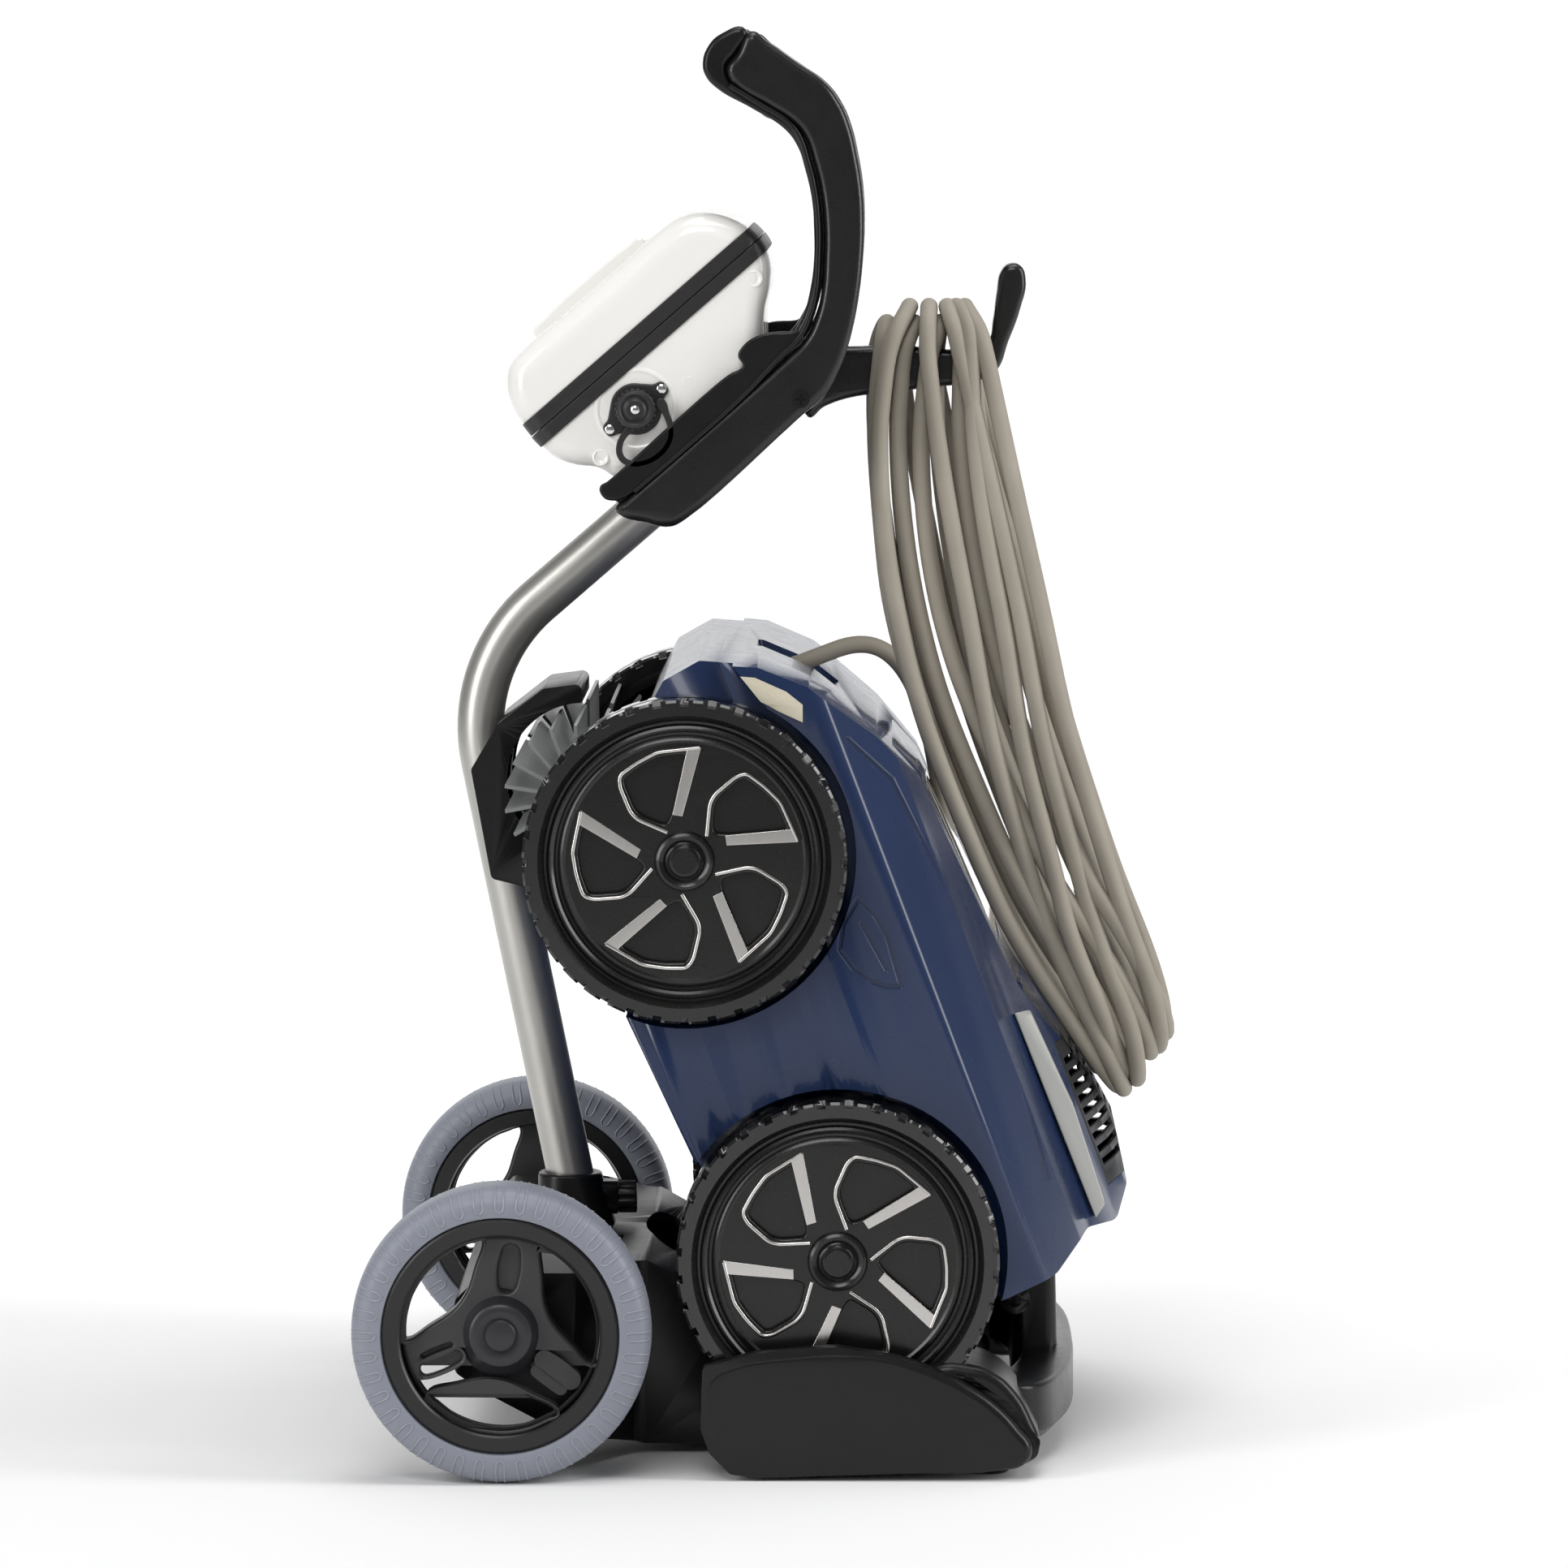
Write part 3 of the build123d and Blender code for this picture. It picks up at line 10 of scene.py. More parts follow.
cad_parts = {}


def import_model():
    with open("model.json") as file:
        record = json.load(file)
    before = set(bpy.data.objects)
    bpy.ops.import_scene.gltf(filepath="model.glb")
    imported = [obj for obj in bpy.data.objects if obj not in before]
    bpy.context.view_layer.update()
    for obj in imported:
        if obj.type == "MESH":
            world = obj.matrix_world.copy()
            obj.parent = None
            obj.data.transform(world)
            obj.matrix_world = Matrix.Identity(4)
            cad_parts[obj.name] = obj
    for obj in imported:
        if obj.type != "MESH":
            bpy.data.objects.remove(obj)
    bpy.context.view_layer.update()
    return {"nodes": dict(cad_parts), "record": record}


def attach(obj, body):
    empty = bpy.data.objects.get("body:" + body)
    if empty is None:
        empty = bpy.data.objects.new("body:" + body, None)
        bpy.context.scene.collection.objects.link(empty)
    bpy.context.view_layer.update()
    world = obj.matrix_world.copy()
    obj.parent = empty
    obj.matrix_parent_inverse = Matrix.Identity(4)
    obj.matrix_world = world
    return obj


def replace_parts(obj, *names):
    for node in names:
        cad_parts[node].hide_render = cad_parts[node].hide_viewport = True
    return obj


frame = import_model()
MM = 0.001

# ---------------------------------------------------------------- frames shared with the part
ROBOT_PITCH = radians(110.8)
WHEEL_R = 93.0
WHEELBASE = 247.0
REAR_WHEEL = (53.4, 123.8)
FWD = Vector((cos(ROBOT_PITCH), 0, sin(ROBOT_PITCH)))
OUT = Vector((sin(ROBOT_PITCH), 0, -cos(ROBOT_PITCH)))
ROBOT_AT = Vector((REAR_WHEEL[0], 0, REAR_WHEEL[1])) + FWD * (WHEELBASE / 2) - OUT * WHEEL_R
BOX_SLOPE = radians(41.0)
BOX_AT = Vector((-60.0, 0, 645.0))
BOX_ALONG = Vector((cos(BOX_SLOPE), 0, sin(BOX_SLOPE)))
BOX_OUT = Vector((-sin(BOX_SLOPE), 0, cos(BOX_SLOPE)))
ACROSS = Vector((0, 1, 0))


def robot(x, y, z):
    """A point of the cleaner's own frame, in metres; y is the world's Y."""
    return (ROBOT_AT + FWD * x + OUT * z + ACROSS * y) * MM


def box(along, y, out):
    """A point of the control box's frame, in metres."""
    return (BOX_AT + BOX_ALONG * along + BOX_OUT * out + ACROSS * y) * MM


def world(x, y, z):
    """A point given in millimetres in the shared frame, in metres."""
    return Vector((x, y, z)) * MM


# ---------------------------------------------------------------- camera
CAMERA_TURN = radians(0.7)
CAMERA_TIP = asin(42.5 / 470.0)
CAMERA_AT = (0.0754, -4.5443, 0.7921)
CAMERA_LENS = 174.68
SENSOR_WIDTH = 36.0
FARTHEST_SEEN = 50.0


def aim(obj, place, forward, right):
    """Puts a camera or a lamp at a place, looking forward."""
    up = right.cross(forward)
    obj.matrix_world = Matrix.Translation(place) @ Matrix((right, up, -forward)).transposed().to_4x4()


def make_camera():
    level = cos(CAMERA_TIP)
    right = Vector((cos(CAMERA_TURN), sin(CAMERA_TURN), 0))
    forward = Vector((-sin(CAMERA_TURN) * level, cos(CAMERA_TURN) * level, -sin(CAMERA_TIP)))
    data = bpy.data.cameras.new("camera")
    data.sensor_width = SENSOR_WIDTH
    data.lens = CAMERA_LENS
    data.clip_end = FARTHEST_SEEN
    camera = bpy.data.objects.new("camera", data)
    bpy.context.collection.objects.link(camera)
    aim(camera, Vector(CAMERA_AT), forward, right)
    bpy.context.scene.camera = camera


# ---------------------------------------------------------------- shader arithmetic
class Value:
    """A node socket that takes part in Python arithmetic."""

    def __init__(self, shade, socket):
        self.shade = shade
        self.socket = socket

    def __add__(self, other):
        return self.shade.math("ADD", self, other)

    def __sub__(self, other):
        return self.shade.math("SUBTRACT", self, other)

    def __rsub__(self, other):
        return self.shade.math("SUBTRACT", other, self)

    def __mul__(self, other):
        return self.shade.math("MULTIPLY", self, other)

    def __truediv__(self, other):
        return self.shade.math("DIVIDE", self, other)

    __radd__ = __add__
    __rmul__ = __mul__

    def at_most(self, other):
        return self.shade.math("MINIMUM", self, other)

    def at_least(self, other):
        return self.shade.math("MAXIMUM", self, other)

    def root(self):
        return self.shade.math("SQRT", self)

    def unsigned(self):
        return self.shade.math("ABSOLUTE", self)

    def within(self, low, high):
        """0 below low, 1 above high, smooth between."""
        return self.shade.node("ShaderNodeMapRange", {"interpolation_type": "SMOOTHSTEP"},
                               {"Value": self, "From Min": low, "From Max": high})


MIX_FACTOR = 0
MIX_LOW = 6
MIX_HIGH = 7
MIX_COLOUR = 2
SURFACE_SOCKETS = {"colour": "Base Color", "rough": "Roughness", "metal": "Metallic", "coat": "Coat Weight",
                   "coat_rough": "Coat Roughness", "normal": "Normal", "specular": "Specular IOR Level"}


class Shade:
    """A material being built: node() adds any node, finish sockets take numbers or Values."""

    def __init__(self, name):
        self.material = bpy.data.materials.new(name)
        self.material.use_nodes = True
        self.tree = self.material.node_tree
        self.tree.nodes.clear()
        self.surface = self.tree.nodes.new("ShaderNodeBsdfPrincipled")
        out = self.tree.nodes.new("ShaderNodeOutputMaterial")
        self.tree.links.new(self.surface.outputs[0], out.inputs[0])

    def put(self, socket, value):
        """Links a Value, or sets a number, vector or colour; a colour of three gets a solid alpha."""
        if isinstance(value, Value):
            self.tree.links.new(value.socket, socket)
            return
        if socket.type == "RGBA" and len(value) == 3:
            value = (*value, 1.0)
        socket.default_value = value

    def node(self, kind, settings=None, inputs=None, output=0):
        """Adds a node: its settings first, then the numbers or links of its sockets."""
        made = self.tree.nodes.new(kind)
        for key, value in (settings or {}).items():
            setattr(made, key, value)
        for key, value in (inputs or {}).items():
            self.put(made.inputs[key], value)
        return Value(self, made.outputs[output])

    def math(self, operation, *terms):
        return self.node("ShaderNodeMath", {"operation": operation}, dict(enumerate(terms)))

    def place(self, scale=(1, 1, 1)):
        spot = self.node("ShaderNodeTexCoord", output="Object")
        return self.node("ShaderNodeMapping", {}, {"Vector": spot, "Scale": scale})

    def noise(self, size, detail=3.0, rough=0.5, where=None):
        """Noise whose blotches are about size metres across."""
        return self.node("ShaderNodeTexNoise", {}, {"Vector": where or self.place(), "Scale": 1.0 / size,
                                                    "Detail": detail, "Roughness": rough})

    def tint(self, mask, low, high):
        """Colour low where the mask is 0, colour high where it is 1."""
        sockets = {MIX_FACTOR: mask, MIX_LOW: low, MIX_HIGH: high}
        return self.node("ShaderNodeMix", {"data_type": "RGBA"}, sockets, MIX_COLOUR)

    def bump(self, height, depth, strength=1.0):
        return self.node("ShaderNodeBump", {}, {"Height": height, "Distance": depth, "Strength": strength})

    def finish(self, **sockets):
        for key, value in sockets.items():
            self.put(self.surface.inputs[SURFACE_SOCKETS[key]], value)
        return self.material


MOTTLE = 0.07
DUST = 0.012
DUST_GLOSS = 0.16


def moulded(name, colour, rough=0.42, grain=0.0009, depth=0.00006, coat=0.0, spread=0.25,
            coat_rough=0.1, specular=0.5):
    """Injection-moulded plastic: fine texture, faint mottling and a little wear in its gloss."""
    s = Shade(name)
    fine = s.noise(grain, 2.0)
    broad = s.noise(MOTTLE, 2.0)
    dust = s.noise(DUST, 4.0, 0.6)
    light = tuple(min(1.0, c * (1 + spread) + 0.002) for c in colour)
    dark = tuple(c * (1 - spread * 0.6) for c in colour)
    return s.finish(colour=s.tint(broad, dark, light), rough=dust * DUST_GLOSS + (rough - DUST_GLOSS / 2),
                    normal=s.bump(fine, depth), coat=coat, coat_rough=coat_rough, specular=specular)


def tube_metal():
    """Satin anodised tube with faint drawing lines."""
    s = Shade("satin_aluminium")
    lines = s.noise(0.0011, 3.0, 0.6, s.place(scale=(1, 1, 0.04)))
    cloud = s.noise(0.05, 3.0)
    return s.finish(colour=s.tint(cloud, (0.47, 0.46, 0.43), (0.56, 0.55, 0.52)), metal=0.85,
                    rough=lines * 0.12 + 0.30, normal=s.bump(lines, 0.00003))


def cable_rubber():
    """Matt taupe foam cable jacket."""
    s = Shade("cable_jacket")
    speck = s.noise(0.0008, 3.0, 0.7)
    cloud = s.noise(0.03, 3.0)
    return s.finish(colour=s.tint(cloud, (0.265, 0.238, 0.195), (0.35, 0.318, 0.265)),
                    rough=speck * 0.1 + 0.52, normal=s.bump(speck, 0.00008), specular=0.35)


def badge_finish():
    """Ivory plate with a fine woven emboss."""
    s = Shade("ivory_plate")
    weave = s.node("ShaderNodeTexVoronoi", {}, {"Vector": s.place(), "Scale": 420.0})
    cloud = s.noise(0.03)
    return s.finish(colour=s.tint(cloud, (0.50, 0.455, 0.35), (0.60, 0.56, 0.45)), rough=0.38,
                    normal=s.bump(weave, 0.0002, 0.6))


def brushed(name, colour, rough=0.28):
    """Polished metal with fine brushing along Z."""
    s = Shade(name)
    lines = s.noise(0.0009, 3.0, 0.6, s.place(scale=(1, 1, 0.15)))
    return s.finish(colour=s.tint(lines, tuple(c * 0.9 for c in colour), colour), metal=1.0,
                    rough=lines * 0.15 + rough - 0.07, normal=s.bump(lines, 0.00002))


# The raised triangle, the line inside it and the long panel line, as (along, out) of the cleaner's frame;
# along them the blue is bumped and darkened with painted shade.
TRIANGLE = [(66, 177), (54, 182.6), (40, 185), (10, 182.5), (13, 175), (19, 168), (30, 160.5), (43, 157),
            (56, 164), (66, 177)]
FOLDS = [TRIANGLE, [(52, 174), (22, 178)],
         [(153.5, 204), (120.7, 219), (35, 227), (-57, 228), (-129, 221)]]
FOLD_CORE = 0.5
FOLD_EDGE = 2.0
SIDE_PANEL = (0.150, 0.156)


def gap_to_run(along, out, start, end):
    """The squared distance of a shaded point from one straight run of a fold line."""
    run_along = end[0] - start[0]
    run_out = end[1] - start[1]
    length_squared = run_along * run_along + run_out * run_out
    share = ((along - start[0]) * run_along + (out - start[1]) * run_out) / length_squared
    share = share.at_least(0.0).at_most(1.0)
    off_along = along - start[0] - share * run_along
    off_out = out - start[1] - share * run_out
    return off_along * off_along + off_out * off_out


def blue_with_painted_fold_shade():
    """Glossy blue shell whose side panels carry fine moulded fold lines, bumped and darkened with painted
    shade, in the cleaner's frame.
    """
    s = Shade("blue_shell")
    spot = s.node("ShaderNodeTexCoord", output="Object")
    x, y, z = (s.node("ShaderNodeSeparateXYZ", {}, {0: spot}, axis) for axis in range(3))
    dx = x / MM - ROBOT_AT.x
    dz = z / MM - ROBOT_AT.z
    along = dx * FWD.x + dz * FWD.z
    out = dx * OUT.x + dz * OUT.z
    near = None
    for fold in FOLDS:
        for start, end in zip(fold, fold[1:]):
            gap = gap_to_run(along, out, start, end)
            near = gap if near is None else near.at_most(gap)
    side = y.unsigned().within(*SIDE_PANEL)
    # the fold-line mask drives both the bump and the painted shade in the colour
    line = (1.0 - near.root().within(FOLD_CORE, FOLD_EDGE)) * side
    cloud = s.noise(0.09, 2.0)
    fine = s.noise(0.02, 2.0)
    base = s.tint(cloud, (0.0085, 0.0205, 0.066), (0.0105, 0.025, 0.078))
    # painted shade: the colour darkens to a deep blue along the fold lines
    colour = s.tint(line * 0.6, base, (0.004, 0.01, 0.034))
    return s.finish(colour=colour, rough=fine * 0.06 + 0.24, coat=0.35, coat_rough=0.08, specular=0.3,
                    normal=s.bump(1.0 - line, 0.0006))


# ---------------------------------------------------------------- finishes
black = moulded("black_moulding", (0.006, 0.006, 0.0062), 0.3, coat=0.06, coat_rough=0.2, specular=0.28)
deck_black = moulded("deck_moulding", (0.009, 0.009, 0.009), 0.36, specular=0.35)
satin_black = moulded("handle_moulding", (0.0065, 0.0063, 0.006), 0.28, coat=0.15, coat_rough=0.25,
                      specular=0.4)
# painted highlight: the raised notch ridges get a lighter copy of the grey tyre rubber
tyre_ridge = moulded("tyre_ridge", (0.245, 0.257, 0.30), 0.34, spread=0.05)
tyre_rubber = moulded("grey_tyre", (0.215, 0.228, 0.27), 0.45, spread=0.08, grain=0.0014)
rim_plastic = moulded("caddy_rim", (0.026, 0.0265, 0.028), 0.4)
rim_black = moulded("caddy_barrel", (0.007, 0.007, 0.0075), 0.35)
cap_plastic = moulded("caddy_cap", (0.022, 0.022, 0.026), 0.34, specular=0.4)
blue_gloss = blue_with_painted_fold_shade()
wheel_gloss = moulded("wheel_disc", (0.0045, 0.0043, 0.004), 0.28, coat=0.3, coat_rough=0.14, specular=0.3)
tread_gloss = moulded("tread_rubber", (0.005, 0.005, 0.005), 0.2, coat=0.6, coat_rough=0.06, specular=0.4)
silver_trim = brushed("silver_trim", (0.62, 0.60, 0.58), 0.24)
steel = brushed("turned_steel", (0.5, 0.5, 0.5))
chrome = brushed("bright_screw", (0.75, 0.75, 0.75), 0.16)
aluminium = tube_metal()
fin_rubber = moulded("brush_rubber", (0.20, 0.21, 0.205), 0.35, spread=0.2)
white_gloss = moulded("box_white", (0.82, 0.805, 0.775), 0.22, depth=0.00001, coat=0.6, spread=0.02,
                      coat_rough=0.08)
seal_rubber = moulded("seal_rubber", (0.014, 0.0125, 0.0125), 0.38)
key_rubber = moulded("key_rubber", (0.28, 0.29, 0.30), 0.5)
smoke = moulded("smoke_window", (0.05, 0.055, 0.065), 0.1, depth=0.00001, coat=1.0, coat_rough=0.03)
grille_black = moulded("grille_black", (0.01, 0.011, 0.014), 0.45)
strip_grey = moulded("bar_grey", (0.44, 0.44, 0.42), 0.33, spread=0.05)
ivory = badge_finish()
jacket = cable_rubber()
motor_black = moulded("motor_housing", (0.05, 0.05, 0.055), 0.5)


# ---------------------------------------------------------------- mesh helpers
RECORD_BODIES = frame["record"]["behaviour"]["bodies"]
BODY_OF_NODE = {node: body for body, nodes in RECORD_BODIES.items() for node in nodes}
WELD_GAP = 2e-6
CAD_WELD_GAP = 4e-6
FLAT_ANGLE = 0.6
EDGE_STEPS = 2


def settle(obj, material, angle=32.0, body=None):
    """Gives a mesh object its finish, smooth shading with sharp creases, and its body."""
    obj.data.materials.clear()
    obj.data.materials.append(material)
    obj.data.shade_smooth()
    obj.data.set_sharp_from_angle(angle=radians(angle))
    if body:
        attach(obj, body)
    return obj


def from_bmesh(name, bm, recalc=True):
    """A new object from a bmesh, with its doubles merged and, unless told not to, its faces outwards."""
    bmesh.ops.remove_doubles(bm, verts=bm.verts, dist=WELD_GAP)
    if recalc:
        bmesh.ops.recalc_face_normals(bm, faces=bm.faces)
    mesh = bpy.data.meshes.new(name)
    bm.to_mesh(mesh)
    bm.free()
    obj = bpy.data.objects.new(name, mesh)
    bpy.context.collection.objects.link(obj)
    return obj


def flatten(obj):
    """Turns the object's modifiers into plain mesh."""
    graph = bpy.context.evaluated_depsgraph_get()
    mesh = bpy.data.meshes.new_from_object(obj.evaluated_get(graph))
    obj.modifiers.clear()
    obj.data = mesh
    return obj


def soften(obj, width, angle=34.0):
    """Rounds the edges of a finished mesh that are sharper than an angle."""
    bevel = obj.modifiers.new("rounded_edges", "BEVEL")
    bevel.width = width * MM
    bevel.segments = EDGE_STEPS
    bevel.limit_method = "ANGLE"
    bevel.angle_limit = radians(angle)
    bevel.use_clamp_overlap = True
    bevel.harden_normals = True
    flatten(obj)


def carried(node, material, name=None, rounding=0.6):
    """The CAD node's own shape as one welded, edge-rounded piece."""
    bm = bmesh.new()
    bm.from_mesh(frame["nodes"][node].data)
    bmesh.ops.remove_doubles(bm, verts=bm.verts, dist=CAD_WELD_GAP)
    bmesh.ops.dissolve_limit(bm, angle_limit=radians(FLAT_ANGLE), verts=bm.verts, edges=bm.edges)
    obj = from_bmesh(name or node + "_skin", bm, recalc=False)
    if rounding:
        soften(obj, rounding)
    settle(obj, material, body=BODY_OF_NODE[node])
    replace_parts(obj, node)
    return obj


# ---------------------------------------------------------------- cable
CABLE_R = 5.25
TURNS = 8
HOOK_TOP = 637.0
HOOK_ROUND = 22.0
LOOP_ROUND = 63.0
LOOP_MIDDLE = 258.0
# The hanging loops' inner and outer X at each height: (z, inner, outer).
BAND = [(673, 92, 124), (652, 76, 138), (640, 72, 141), (597, 71, 150), (540, 76, 162),
        (492, 84, 173), (424, 99, 188), (380, 115, 202), (337, 132, 216), (293, 152, 233),
        (264, 171, 245), (240, 188, 251), (212, 207, 249), (195, 222, 240)]


def band_x(z, share):
    """X of a strand at a height, share 0 at the cleaner's side of the hanging loops and 1 outside."""
    rows = sorted(BAND)
    z = max(rows[0][0], min(rows[-1][0], z))
    for (z0, inner0, outer0), (z1, inner1, outer1) in zip(rows, rows[1:]):
        if z <= z1:
            break
    t = (z - z0) / (z1 - z0)
    inner = inner0 + (inner1 - inner0) * t
    outer = outer0 + (outer1 - outer0) * t
    return inner + (outer - inner) * share


def fall(top, low, drop):
    """One side of a turn, from the hook down to its lowest bend: (distance across, z)."""
    return [(top, HOOK_TOP), (top + 4, 616.0), (top + 9, 592.0), (top + 17, 556.0), (top + 24, 518.0),
            (top + 29, 480.0), (top + 34, 440.0), (top + 37, 400.0), (low, 330.0),
            (low, 290.0 + drop * 0.5)]


def ring(layer, next_layer, drop):
    """One turn across the hook, (y, z, progress), down the far side and up to the next turn's radius."""
    first = HOOK_ROUND + layer
    last = HOOK_ROUND + next_layer
    low = LOOP_ROUND + (layer + next_layer) / 2
    bottom = [(low * cos(radians(a)), LOOP_MIDDLE + drop + low * sin(radians(a)))
              for a in (-20, -50, -90, -130, -160)]
    over = [(first * cos(radians(a)), HOOK_TOP + first * sin(radians(a))) for a in (90, 60, 30)]
    back = [(last * cos(radians(a)), HOOK_TOP + last * sin(radians(a))) for a in (150, 120)]
    near = [(-y, z) for y, z in reversed(fall(last, low, drop))]
    route = over + fall(first, low, drop) + bottom + near + back
    return [(y, z, i / len(route)) for i, (y, z) in enumerate(route)]


# Each turn's layer on the hook, its places across the band of loops, and how far its loop hangs lower.
LAYERS = [-2.5, 7.5, -2.5, 7.5, -2.5, 7.5, -2.5, 7.5, 7.5]
TOP_SHARE = [0.04, 0.20, 0.33, 0.47, 0.60, 0.72, 0.86, 0.97, 0.92]
FAR_SHARE = [0.03, 0.34, 0.14, 0.62, 0.45, 0.98, 0.80, 0.55]
LOW_SHARE = [0.10, 0.42, 0.22, 0.80, 0.58, 0.98, 0.90, 0.35]
NEAR_SHARE = [0.02, 0.16, 0.50, 0.30, 0.84, 0.60, 0.99, 0.72]
DROPS = [2.0, 10.0, 0.0, 22.0, 6.0, 34.0, 26.0, 14.0]


def share_at(stations, at):
    """The share at a progress round a turn, eased between the stations (progress, share)."""
    for (t0, share0), (t1, share1) in zip(stations, stations[1:]):
        if at <= t1:
            break
    ease = (1 - cos(pi * (at - t0) / (t1 - t0))) / 2
    return share0 + (share1 - share0) * ease


def coil_points():
    """The control points of all the turns on the hook, one turn after another."""
    points = []
    for k in range(TURNS):
        stations = [(0.0, TOP_SHARE[k]), (0.27, FAR_SHARE[k]), (0.5, LOW_SHARE[k]),
                    (0.75, NEAR_SHARE[k]), (1.0, TOP_SHARE[k + 1])]
        for y, z, at in ring(LAYERS[k], LAYERS[k + 1], DROPS[k]):
            points.append(world(band_x(z, share_at(stations, at)), y, z))
    return points


def nurbs(name, points, radius, material, resolution=8):
    """A round cord along one open NURBS spline through the control points."""
    curve = bpy.data.curves.new(name, "CURVE")
    curve.dimensions = "3D"
    curve.bevel_depth = radius * MM
    curve.bevel_resolution = 5
    curve.resolution_u = resolution
    curve.use_fill_caps = True
    spline = curve.splines.new("NURBS")
    spline.points.add(len(points) - 1)
    for spot, co in zip(spline.points, points):
        spot.co = (*co, 1.0)
    spline.order_u = 3
    spline.use_endpoint_u = True
    curve.materials.append(material)
    obj = bpy.data.objects.new(name, curve)
    bpy.context.collection.objects.link(obj)
    return obj


def evaluated_mesh(obj):
    graph = bpy.context.evaluated_depsgraph_get()
    return bpy.data.meshes.new_from_object(obj.evaluated_get(graph))


def spline_length(points):
    """The length of the cord's own spline, in metres."""
    bare = nurbs("measure", points, 0.0, jacket, 16)
    mesh = evaluated_mesh(bare)
    total = sum((mesh.vertices[a].co - mesh.vertices[b].co).length
                for a, b in (e.vertices for e in mesh.edges))
    bpy.data.objects.remove(bare)
    return total


LEAD = [robot(192, 0, 175.5), robot(192, 0, 184), robot(192, 0, 194), world(66, 2, 466),
        world(88, 4, 456), world(104, 30, 424), world(112, 46, 384), world(120, 56, 330),
        world(150, 60, 280), world(190, 50, 236), world(212, 6, 204), world(204, -40, 222),
        world(160, -58, 290), world(112, -52, 400), world(84, -42, 480), world(77, -34, 548),
        world(74, -27, 594), world(76, -22.5, 620), world(78, -19.5, 637), world(79, -16.9, 646.8),
        world(80.5, -9.8, 653.9)]
TAIL = [world(122, 0, 666.5), world(122.5, 14.8, 662.5), world(124, 25.6, 651.8), world(127, 29.6, 637),
        world(131, 32, 616), world(138, 36, 588), world(148, 43, 548), world(163, 52, 500),
        world(178, 62, 440), world(190, 71, 390), world(199, 79, 345), world(203, 82, 318)]


def make_cable():
    route = LEAD + coil_points() + TAIL
    cable = nurbs("floating_cable", route, CABLE_R, jacket)
    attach(cable, "caddy")
    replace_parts(cable, "cable_lead", "cable_coil")
    plug = carried("cable_plug", seal_rubber, "cable_connector", 1.2)
    length = round(spline_length(route), 2)
    tuple(robot(192, 0, 176))


# ---------------------------------------------------------------- smooth plates
CURVE_STEPS = 6
CORNER_STEPS = 3
PLATE_CREASE = 40.0
ON_AXIS = 0.01


def on_side(u, v, y):
    """A point of a plate drawn in the shared frame's side view; on_robot and on_box are alike."""
    return world(u, y, v)


def on_robot(u, v, y):
    return robot(u, y, v)


def on_box(u, v, y):
    return box(u, y, v)


def curved(name, dimensions, steps):
    """An empty curve, drawn with a number of steps between its knots."""
    curve = bpy.data.curves.new(name, "CURVE")
    curve.dimensions = dimensions
    curve.resolution_u = steps
    return curve


def knotted(curve, knots, cyclic):
    """A Bezier spline through knots of (place, whether it is a corner)."""
    spline = curve.splines.new("BEZIER")
    spline.bezier_points.add(len(knots) - 1)
    for knot, (place, corner) in zip(spline.bezier_points, knots):
        knot.co = place
        kind = "VECTOR" if corner else "AUTO"
        knot.handle_left_type = kind
        knot.handle_right_type = kind
    spline.use_cyclic_u = cyclic


def curve_mesh(curve):
    """The mesh that a curve makes; the object that held the curve is thrown away."""
    obj = bpy.data.objects.new(curve.name, curve)
    bpy.context.collection.objects.link(obj)
    mesh = evaluated_mesh(obj)
    bpy.data.objects.remove(obj)
    return mesh


def drawn(name, loops, depth, rounding, round_steps=3):
    """Loops of (u, v) points, or (u, v, 1) at a corner, as a filled plate with rounded edges."""
    curve = curved(name, "2D", CURVE_STEPS)
    curve.fill_mode = "BOTH"
    curve.extrude = depth / 2 - rounding
    curve.bevel_depth = rounding
    curve.offset = -rounding
    curve.bevel_resolution = round_steps
    for loop in loops:
        knotted(curve, [((u, v, 0), bool(corner)) for u, v, *corner in loop], True)
    return curve_mesh(curve)


def weighted(obj):
    """Keeps flat faces flat where they meet rounded edges."""
    modifier = obj.modifiers.new("flat_faces", "WEIGHTED_NORMAL")
    modifier.weight = 80
    modifier.keep_sharp = True
    return flatten(obj)


def plate(name, loops, low, high, place, material, rounding=1.0, body="caddy", **more):
    """A plate between two distances across the object, low to high, drawn in a side frame."""
    mesh = drawn(name, loops, high - low, rounding, **more)
    middle = (low + high) / 2
    bm = bmesh.new()
    bm.from_mesh(mesh)
    for vert in bm.verts:
        vert.co = place(vert.co.x, vert.co.y, middle + vert.co.z)
    obj = from_bmesh(name, bm)
    settle(obj, material, PLATE_CREASE)
    weighted(obj)
    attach(obj, body)
    return obj


def both_sides(name, loops, inner, outer, place, material, rounding):
    """The same plate of the caddy on the near and the far side."""
    return [plate(f"{name}_near", loops, -outer, -inner, place, material, rounding),
            plate(f"{name}_far", loops, inner, outer, place, material, rounding)]


def wire(name, points, radius, material, body, corner=False):
    """A round bead along points in metres, bent sharply at them or running smoothly through them."""
    curve = curved(name, "3D", CURVE_STEPS)
    curve.bevel_depth = radius * MM
    curve.bevel_resolution = 3
    curve.use_fill_caps = True
    knotted(curve, [(point, corner) for point in points], False)
    made = bpy.data.objects.new(name, curve_mesh(curve))
    bpy.context.collection.objects.link(made)
    return settle(made, material, 50, body)


def circle(radius, count):
    return [(radius * cos(2 * pi * i / count), radius * sin(2 * pi * i / count)) for i in range(count)]


